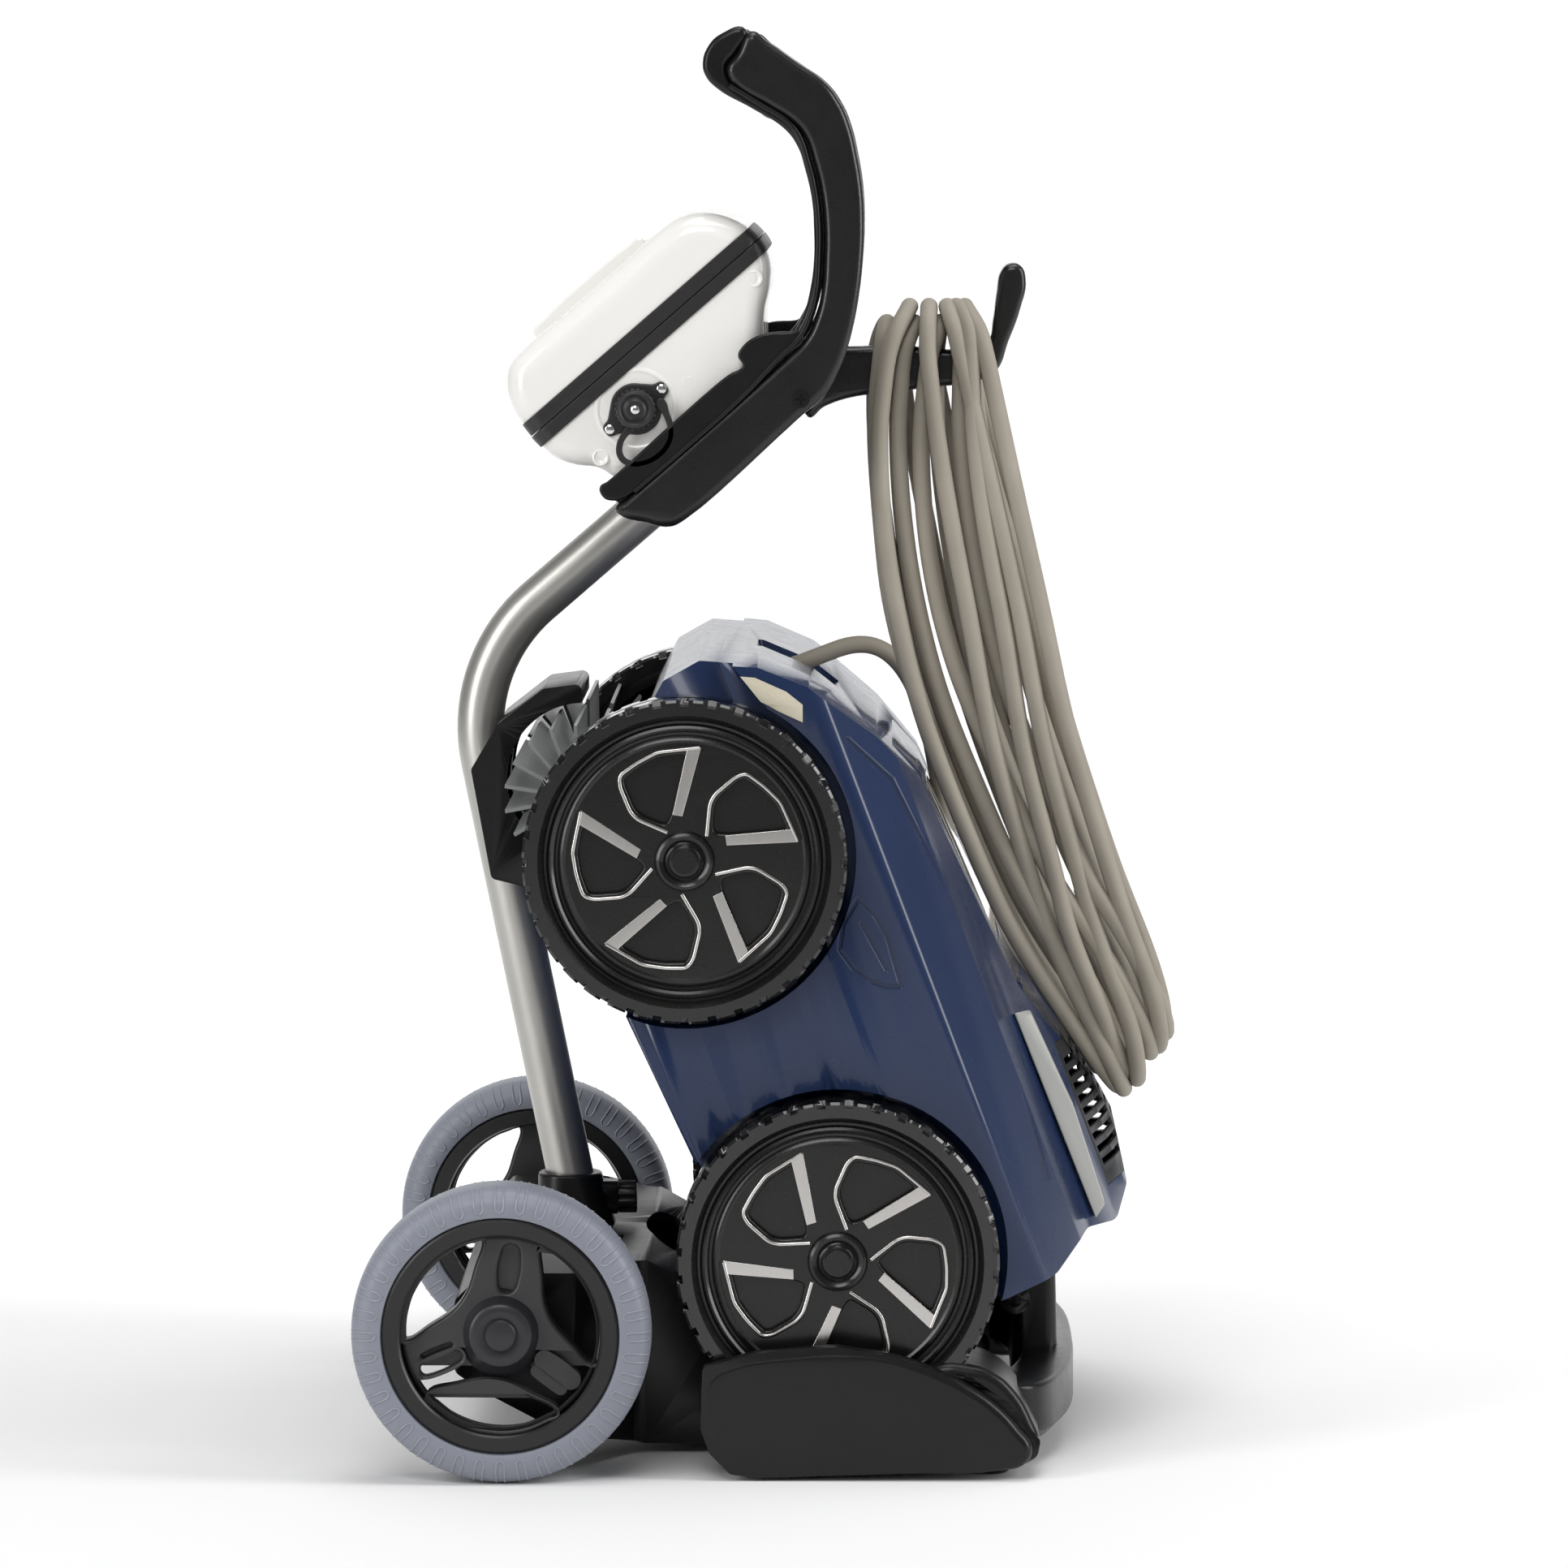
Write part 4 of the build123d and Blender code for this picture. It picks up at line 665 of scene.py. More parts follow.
def filleted(points, radius, closed=True):
    """A polygon whose corners are rounded by short straight runs; every point is a corner."""
    made = []
    count = len(points)
    for i, corner in enumerate(points):
        here = Vector(corner[:2])
        if not closed and i in (0, count - 1):
            made.append((*here, 1))
            continue
        back = Vector(points[i - 1][:2]) - here
        ahead = Vector(points[(i + 1) % count][:2]) - here
        reach = min(radius, back.length * 0.45, ahead.length * 0.45)
        start = here + back.normalized() * reach
        end = here + ahead.normalized() * reach
        for k in range(CORNER_STEPS + 1):
            t = k / CORNER_STEPS
            made.append((*(start * (1 - t) ** 2 + here * 2 * t * (1 - t) + end * t * t), 1))
    return made


def rotated(points, degrees):
    c = cos(radians(degrees))
    s = sin(radians(degrees))
    return [(u * c - v * s, u * s + v * c, *rest) for u, v, *rest in points]


def lathe(name, profile, centre, side, material, body, around=96, angle=30.0):
    """A closed (radius, out) profile turned about the wheel axle at centre, outward to one side."""
    bm = bmesh.new()
    rings = []
    for radius, out in profile:
        if radius < ON_AXIS:
            rings.append([bm.verts.new(wheel_point(centre, side, 0, 0, out))])
            continue
        rings.append([bm.verts.new(wheel_point(centre, side, radius * cos(2 * pi * i / around),
                                               radius * sin(2 * pi * i / around), out))
                      for i in range(around)])
    loops = list(zip(rings, rings[1:]))
    if profile[0][0] > ON_AXIS:
        loops.append((rings[-1], rings[0]))
    for a, b in loops:
        for i in range(around):
            j = (i + 1) % around
            corners = []
            for vert in (a[i % len(a)], a[j % len(a)], b[j % len(b)], b[i % len(b)]):
                if vert not in corners:
                    corners.append(vert)
            if len(corners) > 2:
                bm.faces.new(corners)
    obj = from_bmesh(name, bm)
    return settle(obj, material, angle, body)


def wheel_point(centre, side, u, v, out):
    """A point of a wheel: u and v in its plane, out along its axle, away from the middle."""
    return world(centre[0] + u, centre[1] + side * out, centre[2] + v)


def wheel_plate(name, loops, low, high, centre, side, material, body, rounding=0.6, **more):
    """A plate in a wheel's own plane, between two distances out along its axle."""
    def place(u, v, out):
        return wheel_point(centre, side, u, v, out)
    return plate(name, loops, low, high, place, material, rounding, body, **more)


# ---------------------------------------------------------------- repeats made by geometry nodes
def copies_tree(name, seed, count, material):
    """A tree that sets copies of the seed on a circle, each turned to face out, and paints them."""
    tree = bpy.data.node_groups.new(name, "GeometryNodeTree")
    tree.interface.new_socket("Geometry", in_out="OUTPUT", socket_type="NodeSocketGeometry")
    tree.interface.new_socket("Copies", in_out="INPUT", socket_type="NodeSocketInt")
    tree.interface.new_socket("Radius", in_out="INPUT", socket_type="NodeSocketFloat")
    add = tree.nodes.new
    link = tree.links.new
    given = add("NodeGroupInput")
    circle_points = add("GeometryNodeMeshCircle")
    link(given.outputs["Copies"], circle_points.inputs["Vertices"])
    link(given.outputs["Radius"], circle_points.inputs["Radius"])
    source = add("GeometryNodeObjectInfo")
    source.inputs["Object"].default_value = seed
    step = add("ShaderNodeMath")
    step.operation = "MULTIPLY"
    step.inputs[1].default_value = 2 * pi / count
    link(add("GeometryNodeInputIndex").outputs[0], step.inputs[0])
    turn = add("ShaderNodeCombineXYZ")
    link(step.outputs[0], turn.inputs["Z"])
    place = add("GeometryNodeInstanceOnPoints")
    link(circle_points.outputs[0], place.inputs["Points"])
    link(source.outputs["Geometry"], place.inputs["Instance"])
    link(turn.outputs[0], place.inputs["Rotation"])
    real = add("GeometryNodeRealizeInstances")
    link(place.outputs[0], real.inputs[0])
    paint = add("GeometryNodeSetMaterial")
    paint.inputs["Material"].default_value = material
    link(real.outputs[0], paint.inputs[0])
    link(paint.outputs[0], add("NodeGroupOutput").inputs[0])
    return tree


def instanced(name, make_piece, count, centre, radius, side, out, material, body):
    """Copies of a small shape round an axle, through a geometry-nodes tree turned into mesh."""
    seed = from_bmesh(name + "_seed", make_piece())
    tree = copies_tree(name, seed, count, material)
    host = bpy.data.objects.new(name, bpy.data.meshes.new(name))
    bpy.context.collection.objects.link(host)
    modifier = host.modifiers.new("copies", "NODES")
    modifier.node_group = tree
    inputs = {item.name: item.identifier for item in tree.interface.items_tree if item.in_out == "INPUT"}
    modifier[inputs["Copies"]] = count
    modifier[inputs["Radius"]] = radius
    flatten(host)
    bpy.data.objects.remove(seed)
    onto_axle = Matrix(((1, 0, 0, 0), (0, 0, side, 0), (0, 1, 0, 0), (0, 0, 0, 1)))
    host.data.transform(Matrix.Translation(wheel_point(centre, side, 0, 0, out)) @ onto_axle)
    bm = bmesh.new()
    bm.from_mesh(host.data)
    bmesh.ops.recalc_face_normals(bm, faces=bm.faces)
    bm.to_mesh(host.data)
    bm.free()
    return settle(host, material, 40, body)


def block(size, rounding):
    """A small rounded block round the origin, in millimetres, as a maker for instanced()."""
    def make():
        bm = bmesh.new()
        bmesh.ops.create_cube(bm, size=1.0)
        for vert in bm.verts:
            vert.co = Vector((vert.co.x * size[0], vert.co.y * size[1], vert.co.z * size[2])) * MM
        bmesh.ops.bevel(bm, geom=bm.edges[:] + bm.verts[:], offset=rounding * MM, segments=2,
                        profile=0.5, affect="EDGES")
        return bm
    return make


# ---------------------------------------------------------------- caddy wheels
CADDY_AXLE = (-139.0, 235.0, 86.0)
FINE_ROUND = 128
HUB_ROUND = 64
CAP_ROUND = 48
SCREW_ROUND = 24


def pill(length, width, centre, degrees):
    """A long rounded slot along the radius, in a wheel's plane."""
    half = (length - width) / 2
    r = width / 2
    points = [(half + r * cos(radians(a)), r * sin(radians(a))) for a in (-90, -45, 0, 45, 90)]
    points += [(-u, -v) for u, v in points]
    return rotated([(u + centre[0], v + centre[1]) for u, v in points], degrees)


def kidney(degrees):
    """The opening between two spokes of a caddy wheel, for an opening centred on +u."""
    outer = [(55.5 * cos(radians(a)), 55.5 * sin(radians(a))) for a in (-38, -20, 0, 20, 38)]
    inner = [(43, 36.5), (35, 21), (29.5, 0), (35, -21), (43, -36.5)]
    return rotated(outer + inner, degrees)


SHOULDER = [(71.2, 22.1), (72.6, 22.3), (74.5, 22.1), (77, 21.8), (79.5, 20.8), (81.5, 19.6), (83.2, 17.8),
            (84.4, 15.8), (85.2, 12.8)]
NOTCHES = 40
NOTCH_R = 77.5
NOTCH_OUT = 20.6
NOTCH_HALF = 2.4


def notch_bump():
    """A raised horseshoe that rims one notch, following the shoulder of the tyre."""
    legs = [(r, NOTCH_HALF if i > 1 else NOTCH_HALF * (0.0, 0.8)[i], h)
            for i, (r, h) in enumerate(SHOULDER)]
    route = [Vector((r, -v, h)) for r, v, h in reversed(legs[1:])] + [Vector((r, v, h)) for r, v, h in legs]
    bm = bmesh.new()
    lines = []
    for i, here in enumerate(route):
        way = (route[min(i + 1, len(route) - 1)] - route[max(i - 1, 0)]).normalized()
        outward = Vector((max(here.x - 72.0, 0.0) / 14.0, 0, 1)).normalized()
        off = way.cross(outward).normalized()
        shape = [(-0.8, -0.5), (-0.45, 0.3), (0, 0.5), (0.45, 0.3), (0.8, -0.5)]
        seat = here - Vector((NOTCH_R, 0, NOTCH_OUT))
        lines.append([bm.verts.new((seat + off * d + outward * h) * MM) for d, h in shape])
    for a, b in zip(lines, lines[1:]):
        for i in range(len(a) - 1):
            bm.faces.new((a[i], a[i + 1], b[i + 1], b[i]))
        bm.faces.new((a[-1], a[0], b[0], b[-1]))
    bm.faces.new(lines[0])
    bm.faces.new(lines[-1][::-1])
    return bm


def caddy_wheel(end, side):
    """A grey tyre with notched shoulders on a three-spoked rim, with its cap."""
    centre = (CADDY_AXLE[0], side * CADDY_AXLE[1], CADDY_AXLE[2])
    body = f"caddy_wheel_{end}"
    tread = [(67.5, -18), (68.5, -21), (72, -22.3), (77, -21.8), (81.5, -19.6), (84.4, -15.8),
             (85.6, -10), (86, -3), (86, 3), (85.6, 10), (84.4, 15.8), (81.5, 19.6), (77, 21.8),
             (72, 22.3), (68.5, 21), (67.5, 18)]
    tyre = lathe(f"tyre_{end}", tread, centre, side, tyre_rubber, body, FINE_ROUND)
    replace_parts(tyre, f"caddy_tyre_{end}")
    # the notch ridges on both shoulders wear the lighter rubber, a painted highlight
    for label, flip in (("outer", 1), ("inner", -1)):
        notches = instanced(f"tyre_notches_{label}_{end}", notch_bump, NOTCHES, centre, NOTCH_R * MM,
                            side * flip, NOTCH_OUT, tyre_ridge, body)
        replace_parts(notches, f"caddy_tyre_{end}")
    barrel = [(67.5, -18), (67, -20), (58.5, -20.5), (57.5, -18), (59, -6), (59.5, 0), (58.5, 6),
              (57.8, 12), (57, 17), (57.4, 19.6), (58.6, 20.8), (66, 21), (67.4, 20), (67.8, 17)]
    rim = lathe(f"rim_barrel_{end}", barrel, centre, side, rim_black, body, FINE_ROUND)
    openings = [kidney(a) for a in (23, 143, 263)]
    web = wheel_plate(f"rim_web_{end}", [circle(58.6, 24)] + openings, -8, 3, centre, side, rim_plastic,
                      body, 2.2)
    grooves = [pill(28, 10, (37.5, 0), 83)]
    for a in (203, 323):
        grooves += [pill(25, 6.4, (38.5, 2.6), a), pill(19, 2.2, (38, -5.0), a)]
    face = wheel_plate(f"rim_spokes_{end}", [circle(57.2, 24)] + openings + grooves, 0, 8.5, centre,
                       side, rim_plastic, body, 2.6)
    hub = [(8.1, -18), (17, -18), (18, -17), (26, 2), (22, 8), (18.6, 13.5), (17.8, 16.2),
           (16.2, 17.2), (12, 17.4), (9.8, 16.6), (8.1, 16.6)]
    boss = lathe(f"rim_hub_{end}", hub, centre, side, cap_plastic, body, HUB_ROUND)
    for piece in (rim, web, face, boss):
        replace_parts(piece, f"caddy_rim_{end}")
    button = [(0, 16.4), (9.4, 16.4), (9.2, 18.6), (8.2, 19.8), (6.6, 20.2), (3, 20.6), (0, 20.7)]
    cap = lathe(f"wheel_cap_{end}", button, centre, side, cap_plastic, body, CAP_ROUND, 25)
    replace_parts(cap, f"caddy_cap_{end}")


# ---------------------------------------------------------------- cleaner wheels
PANE = [(1, 61.3), (-15, 59.4), (-25.3, 54), (-34.4, 47), (-34.2, 43.5), (-28.5, 29.6), (-23.8, 25.6),
        (-10.5, 20.5), (-7.5, 27)]
TRIM = [(8.6, 65.2), (-15.5, 62.6), (-26.9, 56.6), (-37.2, 49.2), (-37.2, 42.9), (-31, 28), (-26.8, 23.8),
        (-9.8, 16.4)]
BAR = [(1.4, 64.2, 1), (9.6, 65.4, 1), (-1.2, 25.7, 1), (-7.0, 26.6, 1)]
WINDOWS = 5
CLEANER_WHEEL_Y = 202.5


def cleaner_wheel(end, x, way, side, turn):
    """A drive wheel's dish, its web of five windows, its hub and the silver trims."""
    name = f"{end}_wheel_{way}"
    at = robot(x, 0, WHEEL_R) / MM
    centre = (at.x, side * CLEANER_WHEEL_Y, at.z)
    dish = [(0, -6), (69, -6), (76, -20), (84, -20.5), (88.5, -19), (90.2, 6), (90, 15.5),
            (88.6, 20.4), (86.6, 21.6), (84, 20.6), (82, 17.6), (80.6, 15), (79.2, 14.8),
            (77.9, 16.2), (76.4, 16.8), (75, 15.6), (74, 13.4), (72.6, 13.2), (71.2, 14.4),
            (69.4, 15), (66.4, 13), (61, 8.4), (0, 8.4)]
    disc = lathe(f"{name}_dish", dish, centre, side, wheel_gloss, name, FINE_ROUND, 24)
    turns = [turn + 360 / WINDOWS * k for k in range(WINDOWS)]
    panes = [rotated(filleted(PANE, 3.0), spin) for spin in turns]
    web = wheel_plate(f"{name}_web", [circle(69.8, 30)] + panes, 7, 14.0, centre, side,
                      wheel_gloss, name, 1.6)
    hub = [(0, 17.9), (6.5, 17.8), (8.6, 17), (9.9, 15.6), (10.8, 15.2), (12.6, 16.8), (14.6, 17.6),
           (16.2, 16.8), (17.4, 14.4), (17.8, 8), (0, 8)]
    boss = lathe(f"{name}_hub", hub, centre, side, wheel_gloss, name, HUB_ROUND, 25)
    for piece in (disc, web, boss):
        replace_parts(piece, name)
    for k, spin in enumerate(turns):
        trim = [wheel_point(centre, side, u, v, 14.2)
                for u, v, _ in rotated(filleted(TRIM, 3.0, closed=False), spin)]
        wire(f"{name}_trim_{k}", trim, 1.25, silver_trim, name, corner=True)
        bar = wheel_plate(f"{name}_bar_{k}", [rotated(BAR, spin)], 12.6, 14.9, centre, side, silver_trim,
                          name, 0.4)


# ---------------------------------------------------------------- handle, cradle and hook
ARM_BACK = [(52.2, 629.2), (57.9, 643.4), (61.6, 657.2), (64.8, 674.1), (67.1, 694), (68, 717),
            (67.1, 735.5), (64.0, 755.4), (59.5, 773.8), (54.2, 786.1), (45.0, 798.4), (28.9, 809.9),
            (11.4, 822.1), (2.0, 828.0)]
SEAM = [(-6.2, 815.2), (-12.3, 806.8), (-11.5, 801.4), (-7, 795.3), (12.1, 783.8), (27.4, 773.8),
        (33.4, 766.1), (38.1, 752.3), (41.9, 737), (44.2, 717), (44.2, 695.6), (42.7, 675.6),
        (38.8, 660.3), (33.5, 649.5), (24.0, 640.0)]
CRADLE_LOW = [(-70.6, 556.5), (-77.5, 550.6), (-75, 547), (-59.5, 542.4), (-45.2, 540.0), (-36, 544.5),
              (31.6, 604.8), (45, 617)]
TIP = [(-1.0, 829.0), (-15.4, 826.5), (-23.5, 818.3), (-26.1, 809.1), (-24.5, 802.2), (-18.4, 795.3)]
ARM_FRONT = [(3, 783), (21.3, 771.5), (28.9, 761.5), (33.5, 747.7), (37.3, 730.9), (38.6, 714),
             (38.6, 695.6), (36.5, 678.7), (32.6, 664), (28, 655)]
TRAY_TOP = [(26.1, 654.2), (7.1, 652), (-4, 644), (-5.6, 639.6), (-3, 634), (-5.6, 631.4),
            (-9, 630.0), (-13, 627.4), (-40.5, 603.7), (-82, 566.4), (-86.2, 563.5), (-85, 558),
            (-81, 555.5)]


def nudged(points, du, dv):
    return [(u + du, v + dv, *rest) for u, v, *rest in points]


def make_handle():
    """The handle loop's outer and inlaid halves, its grip, and the cradle's walls and belly."""
    outer = ARM_BACK + SEAM + CRADLE_LOW
    shells = both_sides("handle_side", [outer], 80, 112, on_side, satin_black, 5.0)
    floor = plate("cradle_belly", [nudged(SEAM[-1:], -1, -1) + nudged(CRADLE_LOW, 0.4, 0.6)
                                   + [(40, 628)]], -100, 100, on_side, satin_black, 2.0)
    inner_edge = nudged(SEAM[::-1], -0.6, 0.6)
    strip = TIP + ARM_FRONT + [(20.5, 639.5)] + inner_edge[1:]
    strips = both_sides("handle_inlay", [strip], 82, 110.6, on_side, black, 3.5)
    grip = TIP + [(3, 783.5), (15, 777), (28, 786), (38, 799), (28.9, 809.2), (11.4, 821.4)]
    bar = plate("handle_grip", [grip], -96, 96, on_side, satin_black, 7.0)
    wall = [(28.4, 655)] + TRAY_TOP + [(-70.8, 557.4), (23.6, 640.6), (33, 650)]
    walls = both_sides("cradle_wall", [wall], 105.7, 111.2, on_side, black, 1.6)
    for piece in shells + [floor, bar]:
        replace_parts(piece, "cradle_shell")
    for piece in strips + walls:
        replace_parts(piece, "cradle_tray")


def make_cradle_floor():
    """The cradle's sloping floor and the bead along its seam on each side."""
    deck = plate("cradle_floor", [[(-73, -54, 1), (58, -54, 1), (58, -60, 1), (-71, -60, 1)]], -107, 107,
                 on_box, black, 1.0)
    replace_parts(deck, "cradle_tray")
    for end, y in (("near", -111.0), ("far", 111.0)):
        line = [on_side(u - 3.4, v + 1.0, y) for u, v in SEAM[3:]]
        line += [on_side(u, v, y) for u, v in ((0, 619), (-40, 583), (-66, 560.6))]
        wire(f"inlay_bead_{end}", line, 1.5, black, "caddy")


def make_hook():
    hook = [(50, 641), (60, 641.5), (84, 642.5), (132, 641), (141.5, 645), (144.4, 657), (146.6, 674),
            (149.4, 687), (154, 691), (160.6, 690), (163.8, 682), (160.5, 664), (153.6, 645), (146, 627),
            (132, 620.5), (110, 618), (84, 614.5), (60, 611.5), (44, 606), (34, 600), (38, 615)]
    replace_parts(plate("cable_bracket", [hook], -13, 13, on_side, satin_black, 4.0), "cable_hook")


# ---------------------------------------------------------------- control box
BOX_SIDE = [(-84, -5), (-82.5, -15), (-77, -25), (-67.5, -36), (-63.5, -47), (-57, -53.5), (-48, -55),
            (-10, -55), (40, -55), (48, -50), (56, -41), (66, -30), (79, -20), (88, -9), (91, 3), (90, 14),
            (85, 26), (77, 36), (67, 42.5), (56, 45), (20, 45), (-20, 45), (-58, 45), (-68, 43),
            (-76, 36), (-81, 27), (-84, 12)]
BOX_HALF_WIDTH = 104


def box_slice(name, grow, low, high, material, rounding, node):
    """A band of the control box between two heights of its own frame."""
    obj = plate(name, [BOX_SIDE], -BOX_HALF_WIDTH - grow, BOX_HALF_WIDTH + grow, on_box, material,
                rounding, "control_box", round_steps=7)
    bm = bmesh.new()
    bm.from_mesh(obj.data)
    if grow:
        middle = box(0, 0, 0)
        for vert in bm.verts:
            flat = (vert.co - middle) - BOX_OUT * (vert.co - middle).dot(BOX_OUT)
            along = flat.dot(BOX_ALONG)
            vert.co += BOX_ALONG * (grow * MM if along > 0 else -grow * MM)
    for out, sign in ((low, 1), (high, -1)):
        if out is None:
            continue
        geom = bm.verts[:] + bm.edges[:] + bm.faces[:]
        cut = bmesh.ops.bisect_plane(bm, geom=geom, plane_co=box(0, 0, out), plane_no=BOX_OUT * sign,
                                     clear_inner=True)
        edges = [e for e in cut["geom_cut"] if isinstance(e, bmesh.types.BMEdge)]
        bmesh.ops.holes_fill(bm, edges=edges, sides=0)
    bmesh.ops.recalc_face_normals(bm, faces=bm.faces)
    bm.to_mesh(obj.data)
    bm.free()
    soften(obj, 0.7, angle=50)
    settle(obj, material, 40)
    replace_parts(obj, node)


SOCKET = (-27.9, -24.0)
SOCKET_TURN = 38
FLANGE_SCREW_R = 19.2
CAP_RIBS = 22
STRAP_HALF = 1.9


def beside_box(along, out):
    """A place of the box's near wall as a centre for turned parts, whose out is then measured from Y 0."""
    at = box(along, 0, out) / MM
    return (at.x, 0, at.z)


def make_box():
    """The two half shells, the two runs of the seal band and the key panel."""
    box_slice("lid_half", 0.0, 12.4, None, white_gloss, 14.0, "box_top_shell")
    box_slice("base_half", 0.0, None, -4.6, white_gloss, 12.0, "box_bottom_shell")
    box_slice("seal_low", 1.2, -4.6, 3.4, seal_rubber, 12.0, "box_seal_band")
    box_slice("seal_high", 0.8, 3.9, 12.4, seal_rubber, 12.0, "box_seal_band")
    panel = [(-46, 44, 1), (38, 44, 1), (38, 49.5), (30, 51), (-38, 51), (-46, 49)]
    keypad = plate("keypad", [panel], -60, 60, on_box, white_gloss, 1.5, "control_box")
    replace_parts(keypad, "box_panel")


def make_socket():
    """The cable socket on the near wall: its arch, flange, screws and ribbed cap."""
    centre = beside_box(*SOCKET)
    recess = [(21, 103), (21.4, 104.2), (22.6, 104.6), (24.4, 104.2), (25.4, 103)]
    arch = lathe("socket_arch", recess, centre, -1, white_gloss, "control_box", HUB_ROUND)
    ears = rotated([(17, 5.2), (13, 8.5), (6, 14), (0, 15.2), (-6, 14), (-13, 8.5), (-17, 5.2),
                    (-21.6, 3.4), (-22.6, 0), (-21.6, -3.4), (-17, -5.2), (-13, -8.5), (-6, -14),
                    (0, -15.2), (6, -14), (13, -8.5), (17, -5.2), (21.6, -3.4), (22.6, 0), (21.6, 3.4)],
                   SOCKET_TURN)
    flange = wheel_plate("socket_flange", [ears], 102.5, 106, centre, -1, seal_rubber, "control_box", 1.0)
    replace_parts(flange, "box_socket")
    for k, degrees in enumerate((SOCKET_TURN, SOCKET_TURN + 180)):
        u = FLANGE_SCREW_R * cos(radians(degrees))
        v = FLANGE_SCREW_R * sin(radians(degrees))
        head = [(0, 107.6), (1.6, 107.5), (2.7, 107), (3, 106.2), (3, 105.6), (0, 105.6)]
        screw = lathe(f"flange_screw_{k}", head, (centre[0] + u, 0, centre[2] + v), -1, chrome,
                      "control_box", SCREW_ROUND)
        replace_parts(screw, "socket_screws")
    knurl = [(0, 106.5), (11.2, 106.5), (11.4, 107.2), (11.4, 113.6), (10.8, 114.6), (9.2, 115),
             (8.2, 114.2), (7.4, 113.6), (6.2, 114.4), (5, 115.2), (0, 115.4)]
    cap = lathe("plug_cap", knurl, centre, -1, seal_rubber, "socket_cap", CAP_ROUND)
    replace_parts(cap, "socket_cap")
    ribs = instanced("plug_cap_ribs", block((1.4, 1.9, 6.6), 0.4), CAP_RIBS, centre, 11.4 * MM, -1,
                     110.3, seal_rubber, "socket_cap")
    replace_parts(ribs, "socket_cap")
    head = [(0, 116.6), (1.4, 116.5), (2.5, 115.9), (2.8, 115.2), (0, 115.2)]
    screw = lathe("cap_screw", head, centre, -1, chrome, "socket_cap", SCREW_ROUND)


def make_strap():
    """The flat leash from the cap, as a ribbon a set distance to each side of its route."""
    route = [(-66.5, 599), (-71.5, 594), (-74.6, 587.8), (-73.6, 580.5), (-68, 577), (-60, 577.6),
             (-52.5, 581.4), (-46.6, 588), (-44.6, 596), (-47, 605), (-51.6, 614.1)]
    left = []
    right = []
    for i, (u, v) in enumerate(route):
        before = route[max(i - 1, 0)]
        after = route[min(i + 1, len(route) - 1)]
        way = Vector((after[0] - before[0], after[1] - before[1])).normalized() * STRAP_HALF
        left.append((u - way.y, v + way.x))
        right.append((u + way.y, v - way.x))
    strap = plate("cap_leash", [left + right[::-1]], -111.2, -109.2, on_side, seal_rubber, 0.5,
                  "control_box")
    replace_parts(strap, "cap_strap")


def make_dimples():
    """Three shallow rings moulded into the box's near wall."""
    profile = [(5.2, 102.2), (0, 102.2), (0, 102.6), (3.4, 103.4), (4.2, 104.1), (4.9, 103.8),
               (5.2, 102.8)]
    for k, (along, out) in enumerate(((5.5, -34), (-62, -32), (74, -12))):
        dimple = lathe(f"box_dimple_{k}", profile, beside_box(along, out), -1, white_gloss, "control_box",
                       32)


# ---------------------------------------------------------------- base
TROUGH_SIDE = [(-25.5, 52), (-20, 62), (-7, 69), (25.9, 74.6), (60, 76.4), (84, 73.4), (104, 67),
               (125.2, 57.2), (145.1, 43.8), (158, 30), (165, 19.5), (162, 10.5), (145.2, 5.6),
               (92.2, 3.6), (42.5, 2), (10, 0.8), (-2, 2.6), (-12, 9), (-20, 21), (-24.6, 36)]


def make_base():
    """The troughs with a cheek over each outer side, and the fender in front of each."""
    covers = both_sides("trough_cheek", [TROUGH_SIDE], 226, 240.4, on_side, black, 5.5)
    for end, cover in zip(("near", "far"), covers):
        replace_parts(cover, f"wheel_trough_{end}")
        carried(f"wheel_trough_{end}", black, rounding=3.0)
    lip = [(104, 60), (112, 66), (126, 66), (143, 61), (156, 49.5), (165, 34), (169.6, 19), (166, 10),
           (140, 8), (112, 7.5), (106, 30)]
    both_sides("trough_fender", [lip], 152, 229, on_side, black, 6.0)


BADGE = [(211.7, 156.8), (206.5, 167.2), (192.3, 181.1), (181.9, 187.1), (172.5, 183.6), (187, 169.7),
         (198.2, 159.1)]
FEWEST_BADGE_FACES = 8


def make_badge(end):
    """The CAD plate cut down to its slimmer outline, one side at a time."""
    obj = carried(f"badge_{end}", ivory, rounding=0.0)
    bm = bmesh.new()
    bm.from_mesh(obj.data)
    for (ax, az), (bx, bz) in zip(BADGE, BADGE[1:] + BADGE[:1]):
        outward = FWD * (bz - az) - OUT * (bx - ax)
        geom = bm.verts[:] + bm.edges[:] + bm.faces[:]
        cut = bmesh.ops.bisect_plane(bm, geom=geom, plane_co=robot(ax, 0, az), plane_no=outward,
                                     clear_outer=True)
        rim = [e for e in cut["geom_cut"] if isinstance(e, bmesh.types.BMEdge)]
        bmesh.ops.holes_fill(bm, edges=rim, sides=0)
    bmesh.ops.recalc_face_normals(bm, faces=bm.faces)
    if len(bm.faces) < FEWEST_BADGE_FACES:
        raise RuntimeError(f"badge_{end} was trimmed away")
    bm.to_mesh(obj.data)
    bm.free()
    soften(obj, 0.5, angle=40)
    settle(obj, ivory)


def make_grille_shade_plates():
    """Dark plates behind and between the exhaust slots: painted shade standing in for the shaded inside of
    the body.
    """
    # painted shade: dark sheets where the inside of the body would lie in shade
    shade_backing = [(-146, 206, 1), (-66, 206, 1), (-66, 203, 1), (-146, 203, 1)]
    plate("grille_backing", [shade_backing], -84, 84, on_robot, grille_black, 0.4)
    shade_wall = [(-150, 206, 1), (-70, 206, 1), (-70, 246, 1), (-150, 246, 1)]
    both_sides("grille_baffle", [shade_wall], 26, 30, on_robot, grille_black, 0.4)


